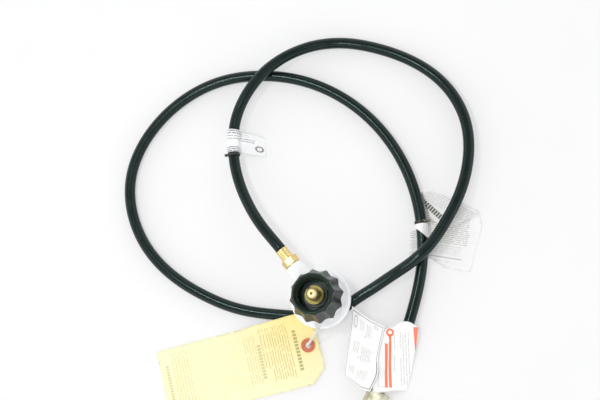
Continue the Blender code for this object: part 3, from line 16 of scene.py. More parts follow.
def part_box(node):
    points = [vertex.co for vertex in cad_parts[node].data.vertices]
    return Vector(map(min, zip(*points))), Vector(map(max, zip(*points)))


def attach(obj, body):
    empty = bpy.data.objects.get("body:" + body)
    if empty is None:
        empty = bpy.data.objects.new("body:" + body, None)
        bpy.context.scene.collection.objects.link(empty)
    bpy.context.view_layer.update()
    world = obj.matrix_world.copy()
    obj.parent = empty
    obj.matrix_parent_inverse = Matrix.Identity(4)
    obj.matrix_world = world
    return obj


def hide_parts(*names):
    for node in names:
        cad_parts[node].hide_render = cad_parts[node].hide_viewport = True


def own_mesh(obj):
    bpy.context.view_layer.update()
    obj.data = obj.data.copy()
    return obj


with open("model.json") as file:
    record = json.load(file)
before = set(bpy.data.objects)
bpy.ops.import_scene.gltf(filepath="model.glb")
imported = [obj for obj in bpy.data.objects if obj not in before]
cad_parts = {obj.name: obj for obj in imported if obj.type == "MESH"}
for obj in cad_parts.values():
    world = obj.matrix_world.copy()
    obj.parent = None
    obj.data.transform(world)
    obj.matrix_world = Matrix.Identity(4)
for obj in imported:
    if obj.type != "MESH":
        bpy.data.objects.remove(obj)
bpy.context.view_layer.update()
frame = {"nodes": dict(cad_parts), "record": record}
MM = 0.001
TURN = 2 * math.pi
UP = Vector((0, 0, 1))

# ---- the hose's route, as in part.py
ROUTE_MM = [
    (-0.7, 86.0, 25.4), (2.2, 116.7, 19.2), (10.4, 145.8, 14.2), (25.3, 172.3, 12.2),
    (46.7, 193.0, 13.4), (73.7, 204.7, 15.8), (91.5, 208.0, 16.5), (109.0, 208.3, 15.2),
    (139.1, 202.5, 9.6), (167.9, 185.2, 6.2), (190.6, 158.8, 5.25), (217.3, 82.6, 7.0),
    (208.5, 43.8, 9.0), (186.9, 14.5, 11.2), (161.4, -4.9, 14.0), (133.2, -18.1, 16.6),
    (99.0, -26.7, 17.6), (81.0, -26.3, 14.8), (62.1, -23.9, 10.6), (42.1, -21.5, 7.4),
    (23.6, -19.1, 5.9), (8.8, -18.0, 5.25), (-10.8, -11.4, 5.25), (-26.2, 1.4, 5.25),
    (-47.5, 21.6, 5.25), (-68.2, 44.6, 5.25), (-85.2, 73.2, 5.25), (-97.4, 104.0, 5.25),
    (-103.0, 150.6, 5.25), (-75.9, 214.2, 5.25), (-14.1, 242.9, 5.25), (58.4, 231.9, 5.25),
    (84.8, 214.7, 5.25), (118.0, 177.9, 5.25), (143.1, 103.4, 5.25), (131.3, 26.5, 5.8),
    (115.4, -4.0, 6.4), (95.2, -30.0, 6.2), (51.7, -65.3, 6.3), (30.5, -78.5, 7.6),
]
HOSE_START = Vector((0.0, 57.3, 28.0)) * MM
START_WAY = (0.0, 1.0)
FAR_END = Vector((0.1, -93.2, 9.5)) * MM
FAR_ANGLE = math.atan2(-0.449, -0.893)
FAR_WAY = (math.cos(FAR_ANGLE), math.sin(FAR_ANGLE))
HEADING = Vector((*FAR_WAY, 0))
HOSE_RADIUS = 5.25 * MM


def spline(knots, values, first_slope, last_slope, where):
    """Cubic spline with given end slopes, read at the given places."""
    count = len(knots)
    step = np.diff(knots)
    matrix = np.zeros((count, count))
    matrix[0, :2] = (2 * step[0], step[0])
    matrix[-1, -2:] = (step[-1], 2 * step[-1])
    for i in range(1, count - 1):
        matrix[i, i - 1:i + 2] = (step[i - 1], 2 * (step[i - 1] + step[i]), step[i])
    slopes = np.concatenate([[first_slope], np.diff(values) / step, [last_slope]])
    bends = np.linalg.solve(matrix, 6 * np.diff(slopes))
    index = np.clip(np.searchsorted(knots, where) - 1, 0, count - 2)
    left = (knots[index + 1] - where) / step[index]
    right = 1 - left
    curve = (left ** 3 - left) * bends[index] + (right ** 3 - right) * bends[index + 1]
    return left * values[index] + right * values[index + 1] + curve * step[index] ** 2 / 6


def level_at(knots, values, where):
    """Heights along the route, without overshoot between its points."""
    step = np.diff(knots)
    slope = np.diff(values) / step
    tangent = np.zeros(len(values))
    for i in range(1, len(values) - 1):
        if slope[i - 1] * slope[i] > 0:
            tangent[i] = 2 * slope[i - 1] * slope[i] / (slope[i - 1] + slope[i])
    index = np.clip(np.searchsorted(knots, where) - 1, 0, len(knots) - 2)
    t = (where - knots[index]) / step[index]
    start = (2 * t ** 3 - 3 * t ** 2 + 1) * values[index]
    end = (3 * t ** 2 - 2 * t ** 3) * values[index + 1]
    out = (t ** 3 - 2 * t ** 2 + t) * step[index] * tangent[index]
    back = (t ** 3 - t ** 2) * step[index] * tangent[index + 1]
    return start + end + out + back


def arc_lengths(points):
    """Distance along a line of points, from its first point to each."""
    return np.concatenate([[0], np.cumsum(np.linalg.norm(np.diff(points, axis=0), axis=1))])


def smooth_route():
    """Fine points of the hose's centre line and their arc lengths."""
    points = np.vstack([tuple(HOSE_START), np.array(ROUTE_MM) * MM, tuple(FAR_END)])
    knots = arc_lengths(points)
    where = np.linspace(0, knots[-1], 6000)
    x, y = (spline(knots, points[:, k], START_WAY[k], FAR_WAY[k], where) for k in range(2))
    fine = np.stack([x, y, level_at(knots, points[:, 2], where)], axis=1)
    return fine, arc_lengths(fine)


ROUTE, DISTANCE = smooth_route()


def route_at(where):
    """Points of the hose's centre line at arc lengths."""
    return np.stack([np.interp(where, DISTANCE, ROUTE[:, k]) for k in range(3)], axis=-1)


def right_of(tangent):
    return tangent.cross(UP).normalized()


def hose_at(distance):
    """Centre of the hose at an arc length, and its directions right and up there."""
    behind, place, ahead = (Vector(route_at(distance + s)) for s in (-MM, 0, MM))
    tangent = (ahead - behind).normalized()
    side = right_of(tangent)
    return place, side, side.cross(tangent)


def link(name, data):
    """New object in the scene."""
    obj = bpy.data.objects.new(name, data)
    bpy.context.scene.collection.objects.link(obj)
    return obj


def make_camera():
    """Camera whose place, turn and lens were fitted to the photograph."""
    right = Vector((0.77197, -0.60674, -0.18957)).normalized()
    up = Vector((0.63476, 0.75166, 0.17914))
    up = (up - right * up.dot(right)).normalized()
    data = bpy.data.cameras.new("camera")
    data.lens = 69.0
    data.sensor_width = 36.0
    data.clip_start = 0.01
    camera = link("camera", data)
    turn = Matrix((right, up, right.cross(up))).transposed().to_4x4()
    camera.matrix_world = Matrix.Translation((0.07901, -0.19489, 1.065)) @ turn
    bpy.context.scene.camera = camera


# ---- node materials
class Nodes:
    """A node tree, with short ways to add to it."""

    def __init__(self, tree):
        self.tree = tree
        self.made = {}

    def put(self, socket, value):
        if isinstance(value, bpy.types.NodeSocket):
            self.tree.links.new(value, socket)
        else:
            socket.default_value = value

    def add(self, kind, values=(), **settings):
        node = self.tree.nodes.new(kind)
        for key, value in settings.items():
            setattr(node, key, value)
        for key, value in dict(values).items():
            self.put(node.inputs[key], value)
        return node

    def coords(self, which):
        if which not in self.made:
            self.made[which] = self.add("ShaderNodeTexCoord").outputs[which]
        return self.made[which]

    def calc(self, kind, first, *rest):
        """A single maths node for one value, or a chain of them over more."""
        for values in [{0: first}] if not rest else [{1: value} for value in rest]:
            node = self.add("ShaderNodeMath", {0: first, **values}, operation=kind)
            first = node.outputs[0]
        return first

    times = partialmethod(calc, "MULTIPLY")
    plus = partialmethod(calc, "ADD")
    minus = partialmethod(calc, "SUBTRACT")
    ratio = partialmethod(calc, "DIVIDE")
    above = partialmethod(calc, "GREATER_THAN")
    below = partialmethod(calc, "LESS_THAN")

    def reach(self, a, b):
        """Length of the pair of values."""
        return self.calc("SQRT", self.plus(self.times(a, a), self.times(b, b)))

    def scaled(self, vector, scale):
        node = self.add("ShaderNodeVectorMath", {0: vector, 1: scale}, operation="MULTIPLY")
        return node.outputs[0]

    def split(self, vector):
        return self.add("ShaderNodeSeparateXYZ", {0: vector}).outputs

    def joined(self, value):
        """Vector with the value as its first part."""
        return self.add("ShaderNodeCombineXYZ", {0: value}).outputs[0]

    def noise(self, scale, detail=3.0, rough=0.5, where=None):
        where = self.coords("Object") if where is None else where
        node = self.add("ShaderNodeTexNoise", {"Vector": where, "Scale": scale, "Detail": detail,
                                               "Roughness": rough})
        return node.outputs[0]

    def remap(self, value, low, high, out_low=0.0, out_high=1.0):
        node = self.add("ShaderNodeMapRange", {0: value, 1: low, 2: high, 3: out_low, 4: out_high},
                        interpolation_type="SMOOTHSTEP")
        return node.outputs[0]

    def mix(self, share, first, second):
        node = self.add("ShaderNodeMix", data_type="RGBA")
        self.put(node.inputs[0], share)
        for socket, colour in ((node.inputs[6], first), (node.inputs[7], second)):
            self.put(socket, (*colour, 1.0) if isinstance(colour, tuple) else colour)
        return node.outputs[2]

    def tones(self, value, first, second, low=0.3, high=0.7):
        """Two colours blended as the value goes from low to high."""
        return self.mix(self.remap(value, low, high), first, second)

    def bump(self, height, millimetres, strength):
        return self.add("ShaderNodeBump", {"Strength": strength, "Distance": millimetres * MM,
                                           "Height": height}).outputs[0]


class Look(Nodes):
    """A material, with its principled shader."""

    SOCKETS = {"colour": "Base Color", "rough": "Roughness", "metal": "Metallic",
               "normal": "Normal", "specular": "Specular IOR Level", "sheen": "Sheen Weight",
               "tint": "Specular Tint"}

    def __init__(self, name):
        self.material = bpy.data.materials.new(name)
        self.material.use_nodes = True
        super().__init__(self.material.node_tree)
        self.shader = self.tree.nodes["Principled BSDF"]

    def shade(self, **values):
        for key, value in values.items():
            self.put(self.shader.inputs[self.SOCKETS[key]], value)
        return self.material


def rubber_look(name, along_uv=True):
    """Satin hose rubber with extrusion streaks and a little dust."""
    look = Look(name)
    where = look.coords("UV" if along_uv else "Object")

    def drawn_out(stretch, even, detail):
        scale = stretch if along_uv else (even,) * 3
        return look.noise(1.0, detail, where=look.scaled(where, scale))

    streaks = drawn_out((55.0, 60.0, 1.0), 900, 2)
    blotches = drawn_out((4.0, 90.0, 1.0), 90, 3)
    dust = look.remap(look.noise(420.0, 5, 0.7), 0.62, 0.82)
    colour = look.tones(blotches, (0.0030, 0.0065, 0.0058), (0.0060, 0.0105, 0.0095))
    colour = look.mix(look.times(dust, 0.10), colour, (0.06, 0.07, 0.065))
    height = look.plus(look.times(streaks, 0.7), look.times(look.noise(2600.0, 2), 0.3))
    return look.shade(colour=colour, rough=look.remap(blotches, 0.25, 0.75, 0.19, 0.24),
                      specular=0.36, tint=(0.70, 0.98, 0.92, 1.0),
                      normal=look.bump(height, 0.02, 0.16))


def mottled_look(name, noise, dark, light, rough, grain=None, bump=(0.05, 0.6),
                 span=(0.3, 0.7), metal=0.0, specks=None):
    """Surface whose colour and roughness follow a noise, with bumps from it or a finer one."""
    look = Look(name)
    broad = look.noise(*noise)
    colour = look.tones(broad, dark, light, *span)
    if specks:
        share = look.times(look.remap(look.noise(2200.0, 4, 0.75), 0.66, 0.80), 0.12)
        colour = look.mix(share, colour, specks)
    return look.shade(colour=colour, rough=look.remap(broad, 0.3, 0.7, *rough), metal=metal,
                      normal=look.bump(look.noise(*grain) if grain else broad, *bump))


def wheel_look():
    """Green-black glass-filled nylon, rubbed along the lobes and the rim."""
    look = Look("wheel_nylon")
    where = look.coords("Object")
    rub = look.remap(look.reach(*look.split(where)[:2]), 20.4 * MM, 25.0 * MM)
    patches = look.remap(look.noise(260.0, 4, 0.65), 0.42, 0.68)
    broad = look.noise(60.0, 2)
    fibre = look.noise(2400.0, 3, 0.6, look.scaled(where, (1.0, 1.0, 0.18)))
    colour = look.tones(broad, (0.0055, 0.0105, 0.0085), (0.0095, 0.0160, 0.0125))
    colour = look.mix(look.times(rub, patches, 0.5), colour, (0.028, 0.032, 0.020))
    rough = look.plus(look.remap(broad, 0.3, 0.7, 0.24, 0.34), look.times(rub, 0.10))
    return look.shade(colour=colour, rough=rough, specular=0.36, tint=(0.72, 0.98, 0.86, 1.0),
                      normal=look.bump(fibre, 0.04, 0.35))


def brass_look(name, stretch, bright=(0.90, 0.74, 0.38), dull=(0.77, 0.57, 0.19), smooth=0.28):
    """Machined brass: fine turning marks across the axis and slight tarnish."""
    look = Look(name)
    turning = look.noise(1.0, 3, 0.6, look.scaled(look.coords("Object"), stretch))
    tarnish = look.remap(look.noise(170.0, 4, 0.6), 0.35, 0.75)
    rough = look.plus(look.remap(tarnish, 0.0, 1.0, smooth, smooth + 0.12),
                      look.times(turning, 0.08))
    return look.shade(colour=look.mix(tarnish, bright, dull), rough=rough, metal=1.0,
                      normal=look.bump(turning, 0.03, 0.5))


def steel_look(name, dull, bright):
    """Plated steel with a fine spangle."""
    return mottled_look(name, (700.0, 4, 0.7), dull, bright, (0.26, 0.42), bump=(0.03, 0.4),
                        span=(0.35, 0.65), metal=1.0)


def plastic_look(name, dark, light, rough=(0.34, 0.46)):
    """Moulded plastic or seal rubber."""
    return mottled_look(name, (120.0, 3), dark, light, rough, (1900.0, 3))


def tie_look():
    """Tie of the middle leaflet: dark round the hose, olive at its head."""
    look = Look("tie_plastic")
    x, y = look.split(look.coords("Object"))[:2]
    reach = look.reach(look.minus(x, 0.1231), look.minus(y, -0.0033))
    grain = look.noise(900.0, 3)
    olive = look.tones(grain, (0.13, 0.13, 0.075), (0.21, 0.20, 0.12))
    head = look.remap(reach, 3.4 * MM, 4.6 * MM, 1.0, 0.0)
    return look.shade(colour=look.mix(head, (0.012, 0.015, 0.014), olive),
                      rough=look.remap(grain, 0.3, 0.7, 0.32, 0.42),
                      normal=look.bump(grain, 0.04, 0.4))


def fibre_look():
    """Vulcanised fibre of the eyelet patch."""
    look = Look("red_fibre")
    flecks = look.noise(1500.0, 5, 0.7)
    colour = look.tones(flecks, (0.52, 0.115, 0.055), (0.78, 0.27, 0.16), 0.35, 0.70)
    return look.shade(colour=colour, rough=0.72, normal=look.bump(flecks, 0.06, 0.8))


def string_look():
    """Twisted cotton: fine strands along the UV's length."""
    look = Look("cotton_string")
    strands = look.noise(1.0, 3, 0.7, look.scaled(look.coords("UV"), (26.0, 900.0, 1.0)))
    height = look.plus(strands, look.times(look.noise(4200.0, 3), 0.5))
    return look.shade(colour=look.tones(strands, (0.68, 0.67, 0.60), (0.90, 0.89, 0.84)),
                      rough=0.88, sheen=0.3, normal=look.bump(height, 0.10, 0.9))


class Print(Look):
    """Paper or card whose generic marks are drawn in millimetres of its UV map."""

    def __init__(self, name, pale, deep):
        super().__init__(name)
        self.u, self.v = self.split(self.scaled(self.coords("UV"), (1000.0,) * 3))[:2]
        self.fibres = self.noise(1700.0, 4, 0.65)
        share = self.plus(self.times(self.fibres, 0.5), self.times(self.noise(70.0, 3), 0.5))
        self.colour = self.tones(share, deep, pale, 0.35, 0.65)

    def between(self, value, low, high, edge=0.12):
        return self.times(self.remap(value, low - edge, low + edge),
                          self.remap(value, high - edge, high + edge, 1.0, 0.0))

    def block(self, u0, u1, v0, v1):
        return self.times(self.between(self.u, u0, u1), self.between(self.v, v0, v1))

    def ink(self, mask, colour, strength=1.0):
        share = self.times(mask, strength) if strength < 1.0 else mask
        self.colour = self.mix(share, self.colour, colour)

    def slanted(self, degrees):
        """Coordinates along and across rules that fall by an angle."""
        cos, sin = math.cos(math.radians(degrees)), math.sin(math.radians(degrees))
        return (self.plus(self.times(self.u, cos), self.times(self.v, sin)),
                self.minus(self.times(self.v, cos), self.times(self.u, sin)))

    def broken(self, along, pitch):
        """Uneven dashes along a rule."""
        grain = self.noise(1.0, 1, where=self.joined(self.ratio(along, pitch)))
        return self.remap(grain, 0.37, 0.47)

    def rules(self, along, across, colour, *fields):
        """Fields of rules with ragged ends.

        A field is its span along and across, pitch, width, raggedness, strength and dash
        length, where 0 means whole rules.
        """
        for u0, u1, v0, v1, pitch, width, ragged, strength, dash in fields:
            row = self.ratio(self.minus(across, v0), pitch)
            index = self.calc("FLOOR", row)
            line = self.between(self.calc("FRACT", row), 0.5 - width / 2, 0.5 + width / 2, 0.10)
            jitter = self.noise(3.7, 1, where=self.joined(index))
            start = self.plus(u0, self.times(jitter, ragged * 0.3))
            end = self.minus(u1, self.times(jitter, ragged))
            mask = self.times(self.above(along, start), self.below(along, end),
                              self.above(across, v0), self.below(across, v1), line)
            if dash:
                shifted = self.plus(along, self.times(index, 17.3))
                mask = self.times(mask, self.broken(shifted, dash))
            self.ink(mask, colour, strength)

    def bars(self, along, across, colour, *bars):
        """Thick dashed stripes, each with its span along and across, pitch and strength."""
        for u0, u1, v0, v1, pitch, strength in bars:
            cell = self.calc("FRACT", self.ratio(along, pitch))
            self.ink(self.times(self.between(along, u0, u1), self.between(across, v0, v1),
                                self.between(cell, 0.14, 0.86, 0.10)), colour, strength)

    def ring(self, u, v, long, wide, line, colour, strength=1.0):
        """Plain ring, long by wide, round a place."""
        reach = self.reach(self.ratio(self.minus(self.u, u), long),
                           self.ratio(self.minus(self.v, v), wide))
        self.ink(self.between(reach, 1.0 - line, 1.0, 0.06), colour, strength)

    def done(self, rough=0.5):
        return self.shade(colour=self.colour, rough=rough,
                          normal=self.bump(self.fibres, 0.04, 0.6))


PALE_INK = (0.30, 0.31, 0.22)
LABEL_INK = (0.20, 0.21, 0.23)
GREY_INK = (0.42, 0.43, 0.45)
GOLD_INK = (0.66, 0.48, 0.10)
OLIVE_INK = (0.36, 0.29, 0.05)
ORANGE_INK = (0.93, 0.165, 0.045)
MIDDLE_WHITE = ((0.955, 0.955, 0.95), (0.93, 0.93, 0.925))
END_WHITE = ((0.955, 0.955, 0.955), (0.93, 0.93, 0.93))


def tag_paper():
    """Pale yellow card, warmer towards one corner, with its rules across it."""
    look = Print("yellow_card", (0.97, 0.945, 0.62), (0.96, 0.925, 0.57))
    warm = look.times(look.remap(look.u, 62.0, 150.0), look.remap(look.v, -6.0, 66.0, 1.0, 0.12))
    look.colour = look.mix(warm, look.colour, (0.98, 0.79, 0.30))
    look.rules(look.v, look.u, GOLD_INK,
               (3.5, 60.0, 107.0, 129.5, 2.45, 0.40, 9.0, 0.62, 4.0),
               (3.0, 48.0, 100.4, 106.2, 3.1, 0.34, 8.0, 0.62, 4.0),
               (5.0, 62.0, 84.0, 96.5, 2.5, 0.36, 16.0, 0.45, 4.0),
               (4.0, 62.0, 29.0, 83.0, 2.2, 0.40, 12.0, 0.16, 2.2),
               (3.5, 62.0, 12.0, 28.5, 2.9, 0.34, 10.0, 0.42, 4.0))
    look.bars(look.v, look.u, OLIVE_INK,
              (12.5, 51.6, 132.7, 136.2, 3.25, 0.72),
              (17.7, 50.7, 96.8, 100.2, 3.0, 0.45),
              (14.8, 58.0, 5.8, 8.6, 2.6, 0.40))
    return look.done(0.72)


def label_paper():
    """Label on the hose: dashed rules and a plain ring."""
    look = Print("label_paper", (0.93, 0.935, 0.94), (0.89, 0.90, 0.905))
    look.rules(look.u, look.v, LABEL_INK,
               (0.0, 33.0, 0.4, 5.0, 2.2, 0.55, 1.0, 0.9, 1.6),
               (2.0, 31.0, 5.2, 11.0, 2.7, 0.40, 12.0, 0.7, 1.8),
               (0.0, 33.0, 17.0, 22.4, 1.9, 0.55, 1.0, 0.95, 1.6),
               (33.0, 46.0, 2.2, 5.4, 1.6, 0.36, 4.0, 0.55, 2.0),
               (33.0, 52.0, 6.0, 10.5, 2.2, 0.42, 4.0, 0.75, 1.6))
    look.ring(54.5, 15.0, 4.4, 3.4, 0.42, (0.16, 0.13, 0.12), 0.85)
    return look.done(0.45)


def middle_paper():
    """Lower page of the middle leaflet."""
    look = Print("leaflet_paper", *MIDDLE_WHITE)
    look.rules(*look.slanted(10.0), PALE_INK,
               (-4.0, 56.0, 20.0, 46.5, 1.9, 0.42, 9.0, 0.52, 2.5),
               (-4.0, 52.0, 47.5, 56.5, 2.0, 0.36, 10.0, 0.34, 2.5),
               (2.0, 50.0, 58.4, 60.4, 2.0, 0.48, 3.0, 0.62, 0),
               (12.0, 46.0, 62.0, 72.0, 2.6, 0.32, 18.0, 0.26, 3.0))
    return look.done()


def fold_paper():
    """Upper page of the middle leaflet, with its dashed stripe."""
    look = Print("leaflet_fold_paper", *MIDDLE_WHITE)
    look.rules(*look.slanted(33.0), PALE_INK, (4.0, 66.0, -7.5, 5.6, 2.1, 0.40, 12.0, 0.34, 3.0))
    look.bars(*look.slanted(44.0), (0.055, 0.055, 0.035), (9.5, 33.5, 3.4, 8.4, 2.7, 0.92))
    return look.done()


def end_paper():
    """Right page of the end leaflet: orange stripes, an orange wedge and pale rules."""
    look = Print("leaflet_end_paper", *END_WHITE)
    look.rules(look.v, look.u, PALE_INK,
               (5.0, 40.0, 13.0, 15.4, 2.4, 0.34, 5.0, 0.50, 2.0),
               (1.5, 54.0, 18.4, 28.4, 2.35, 0.34, 7.0, 0.44, 2.0))
    look.ink(look.block(5.5, 8.0, 8.0, 52.3), ORANGE_INK, 0.92)
    look.ink(look.block(8.9, 11.3, 4.0, 52.3), ORANGE_INK, 0.92)
    look.ring(10.2, 2.6, 3.6, 3.6, 0.52, ORANGE_INK, 0.92)
    look.ring(7.2, 9.6, 2.2, 3.2, 1.0, (0.95, 0.95, 0.95))
    look.ink(look.block(-0.6, 0.0, 37.0, 51.8), GREY_INK, 0.55)
    look.ink(look.block(-0.6, 5.5, 51.4, 51.9), GREY_INK, 0.45)
    fall = look.plus(look.v, 2.5)
    low = look.plus(31.0, look.times(fall, 0.045))
    high = look.minus(35.4, look.times(fall, 0.135))
    wedge = look.times(look.above(look.u, low), look.below(look.u, high), look.above(fall, 0.0))
    look.ink(wedge, ORANGE_INK, 0.90)
    return look.done()


def page_paper():
    """Left page of the end leaflet: a border line, a painted shadow along its curled edge and
    clusters of pale rules.
    """
    look = Print("leaflet_page_paper", *END_WHITE)
    border = look.minus(look.block(1.7, 56.6, 1.6, 46.4), look.block(2.4, 55.9, 2.3, 45.7))
    look.ink(border, (0.20, 0.21, 0.14), 0.85)
    # Painted shadow: a dark line along the lower right edge, where the curled page shades the page
    # below, together with the paper's own dark edge.
    look.ink(look.block(33.0, 57.0, 45.4, 46.6), (0.10, 0.10, 0.07), 0.85)
    look.ring(9.2, 7.6, 5.0, 2.8, 0.24, PALE_INK, 0.62)
    look.ring(5.4, 37.0, 1.8, 3.0, 0.36, PALE_INK, 0.62)
    clusters = ((5.0, 17.0, 13.5, 21.0), (6.0, 20.0, 24.0, 32.0), (22.0, 33.0, 8.5, 17.0),
                (24.0, 38.0, 21.0, 36.0), (38.0, 47.0, 6.0, 16.0), (41.0, 53.0, 19.0, 34.0))
    look.rules(look.u, look.v, PALE_INK,
               *((*box, 2.3, 0.34, 5.0, 0.55, 1.8) for box in clusters))
    for u, v in ((17.0, 23.0), (32.0, 18.0), (25.0, 38.5), (44.0, 13.5), (50.0, 18.5)):
        look.ink(look.block(u, u + 1.6, v, v + 0.8), (0.12, 0.12, 0.11), 0.6)
    return look.done()


RUBBER = rubber_look("hose_rubber")
TAIL_RUBBER = rubber_look("tail_rubber", along_uv=False)
PAINT = mottled_look("casting_paint", (45.0, 3), (0.915, 0.93, 0.945), (0.935, 0.95, 0.96),
                     (0.34, 0.44), (1500.0, 2), specks=(0.45, 0.47, 0.50))
NYLON = wheel_look()
BRASS_Y = brass_look("brass_turned_y", (30.0, 4200.0, 30.0))
BRASS_Z = brass_look("brass_turned_z", (30.0, 30.0, 4200.0), (0.96, 0.80, 0.46),
                     (0.86, 0.66, 0.30), 0.44)
BRASS = brass_look("brass_plain", (900.0,) * 3)
PALE_BRASS = brass_look("brass_plated", (900.0,) * 3, (0.70, 0.68, 0.56), (0.48, 0.45, 0.32), 0.46)
STEEL = steel_look("zinc_steel", (0.52, 0.53, 0.54), (0.66, 0.66, 0.65))
# Olive yellow zinc for the snap ring, darkened with painted shade for the shade inside the hand
# wheel.
PAINTED_SHADE_ZINC = steel_look("yellow_zinc_painted_shade", (0.13, 0.115, 0.035), (0.22, 0.19, 0.06))
BLACK = plastic_look("black_plastic", (0.018, 0.020, 0.020), (0.028, 0.030, 0.030))
SEAL = plastic_look("seal_rubber", (0.022, 0.022, 0.022), (0.035, 0.035, 0.035), (0.55, 0.7))
TIE = tie_look()
STRING = string_look()
FIBRE = fibre_look()
CARD = tag_paper()
LABEL = label_paper()
MIDDLE = middle_paper()
FOLD = fold_paper()
END = end_paper()
PAGE = page_paper()


# ---- mesh helpers
REPLACED = set()


def add_piece(name, mesh, look, slot, *nodes, body="regulator"):
    """Link a mesh as a piece that rides on a body and stands for CAD nodes."""
    mesh.name = name
    obj = link(name, mesh)
    mesh.materials.clear()
    mesh.materials.append(look)
    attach(obj, body)
    if nodes:
        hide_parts(*nodes)
        REPLACED.update(nodes)
    return obj


def outward(work):
    bmesh.ops.recalc_face_normals(work, faces=work.faces)


def capped(work):
    open_edges = [e for e in work.edges if e.is_boundary]
    bmesh.ops.holes_fill(work, edges=open_edges, sides=0)


def welded(distance):
    return lambda work: bmesh.ops.remove_doubles(work, verts=work.verts, dist=distance)


def reworked(mesh, *steps):
    """Take a mesh through bmesh steps and shade it smooth."""
    work = bmesh.new()
    work.from_mesh(mesh)
    for step in steps:
        step(work)
    work.to_mesh(mesh)
    work.free()
    mesh.shade_smooth()
    return mesh


def node_mesh(node):
    """Copy of a CAD node's mesh, its facets joined."""
    return reworked(frame["nodes"][node].data.copy(), welded(0.001 * MM))


def mesh_of(verts, faces, uvs=None, *steps):
    """Mesh with outward faces, and a UV for each vertex where uvs are given."""
    mesh = bpy.data.meshes.new("mesh")
    mesh.from_pydata([tuple(v) for v in verts], [], [tuple(f) for f in faces])
    if uvs is not None:
        layer = mesh.uv_layers.new(name="UVMap")
        for loop in mesh.loops:
            layer.data[loop.index].uv = uvs[loop.vertex_index]
    return reworked(mesh, *steps, outward)


def rounded(outline, radius, steps=3, closed=True):
    """Outline of (radius, height) points with each corner turned into a small arc."""
    made = []
    spots = [Vector(p) for p in outline]
    for i, b in enumerate(spots):
        if not closed and i in (0, len(spots) - 1):
            made.append(tuple(b))
            continue
        back, on = spots[i - 1] - b, spots[(i + 1) % len(spots)] - b
        cut = min(radius, 0.45 * back.length, 0.45 * on.length)
        p, q = b + back.normalized() * cut, b + on.normalized() * cut
        for k in range(steps + 1):
            t = k / steps
            made.append(tuple((1 - t) ** 2 * p + 2 * t * (1 - t) * b + t * t * q))
    return made


def quads(at):
    """Faces between the rows and columns of an array of vertex numbers."""
    corners = (at[:-1, :-1], at[:-1, 1:], at[1:, 1:], at[1:, :-1])
    return list(zip(*(part.ravel().tolist() for part in corners)))


def spun(stations, segments, turn, closed):
    """Surface of rings: each station is a radius, or one per segment, and a height, in mm."""
    verts = []
    angles = [TURN * k / segments for k in range(segments)]
    for radius, height in stations:
        for r, angle in zip(np.broadcast_to(radius, segments), angles):
            verts.append(turn @ Vector((r * math.cos(angle), r * math.sin(angle), height)) * MM)
    at = np.arange(len(verts)).reshape(-1, segments)
    around = np.hstack([at, at[:, :1]])
    faces = quads(np.vstack([around, around[:1]]) if closed else around)
    if not closed:
        faces += [at[0].tolist(), at[-1].tolist()]
    return mesh_of(verts, faces)


def turned(name, stations, segments, look, slot, node, turn=Matrix.Identity(4),
           body="regulator", closed=True):
    """Turned piece, shaded so that its flat faces stay flat."""
    piece = add_piece(name, spun(stations, segments, turn, closed), look, slot, node, body=body)
    normals = piece.modifiers.new("normals", "WEIGHTED_NORMAL")
    normals.weight = 60
    normals.keep_sharp = True
    return piece


def ring_frames(points, level):
    """Side and up vectors along a line of points."""
    frames = []
    side = None
    for i in range(len(points)):
        tangent = (points[min(i + 1, len(points) - 1)] - points[max(i - 1, 0)]).normalized()
        if level:
            side = right_of(tangent)
        elif side is None:
            side = tangent.orthogonal().normalized()
        else:
            side = (side - tangent * side.dot(tangent)).normalized()
        frames.append((side, side.cross(tangent).normalized()))
    return frames


def tube_mesh(points, radius, sides, level=False, lobes=0, depth=0.0, lay=0.0):
    """Capped tube along points, with UVs of turns and metres; lobes twist along it."""
    points = [Vector(p) for p in points]
    length = 0.0
    verts, uvs = [], []
    for i, (point, (side, up)) in enumerate(zip(points, ring_frames(points, level))):
        if i:
            length += (point - points[i - 1]).length
        for k in range(sides + 1):
            angle = TURN * k / sides - math.pi / 2
            r = radius - depth * (0.5 - 0.5 * math.cos(lobes * angle + length * lay))
            verts.append(point + (side * math.cos(angle) + up * math.sin(angle)) * r)
            uvs.append((k / sides, length))
    faces = quads(np.arange(len(verts)).reshape(-1, sides + 1))
    return mesh_of(verts, faces, uvs, outward, welded(1e-7), capped)


def curve_point(a, b, c, d, t):
    """Catmull-Rom curve between b and c."""
    return 0.5 * ((2 * b) + (c - a) * t + (2 * a - 5 * b + 4 * c - d) * t ** 2
                  + (3 * b - a - 3 * c + d) * t ** 3)


def padded(points):
    """Points with one more at each end, straight on."""
    return [points[0] * 2 - points[1], *points, points[-1] * 2 - points[-2]]


def fine_line(points, step=0.5 * MM):
    """Smooth curve through points, read at about one step."""
    line = padded([Vector(p) for p in points])
    made = []
    for i in range(1, len(line) - 2):
        count = max(2, int((line[i + 1] - line[i]).length / step))
        made += [curve_point(*line[i - 1:i + 3], k / count) for k in range(count)]
    return made + [Vector(points[-1])]


def on_curve(points, share):
    """Point at a share of the way along a smooth curve through points."""
    place = share * (len(points) - 1)
    i = min(int(place), len(points) - 2)
    return curve_point(*padded(points)[i:i + 4], place - i)


def on_net(net, down, across):
    """Point, in metres, of the smooth surface through a small net of points in mm."""
    return on_curve([on_curve([Vector(p) * MM for p in line], across) for line in net], down)


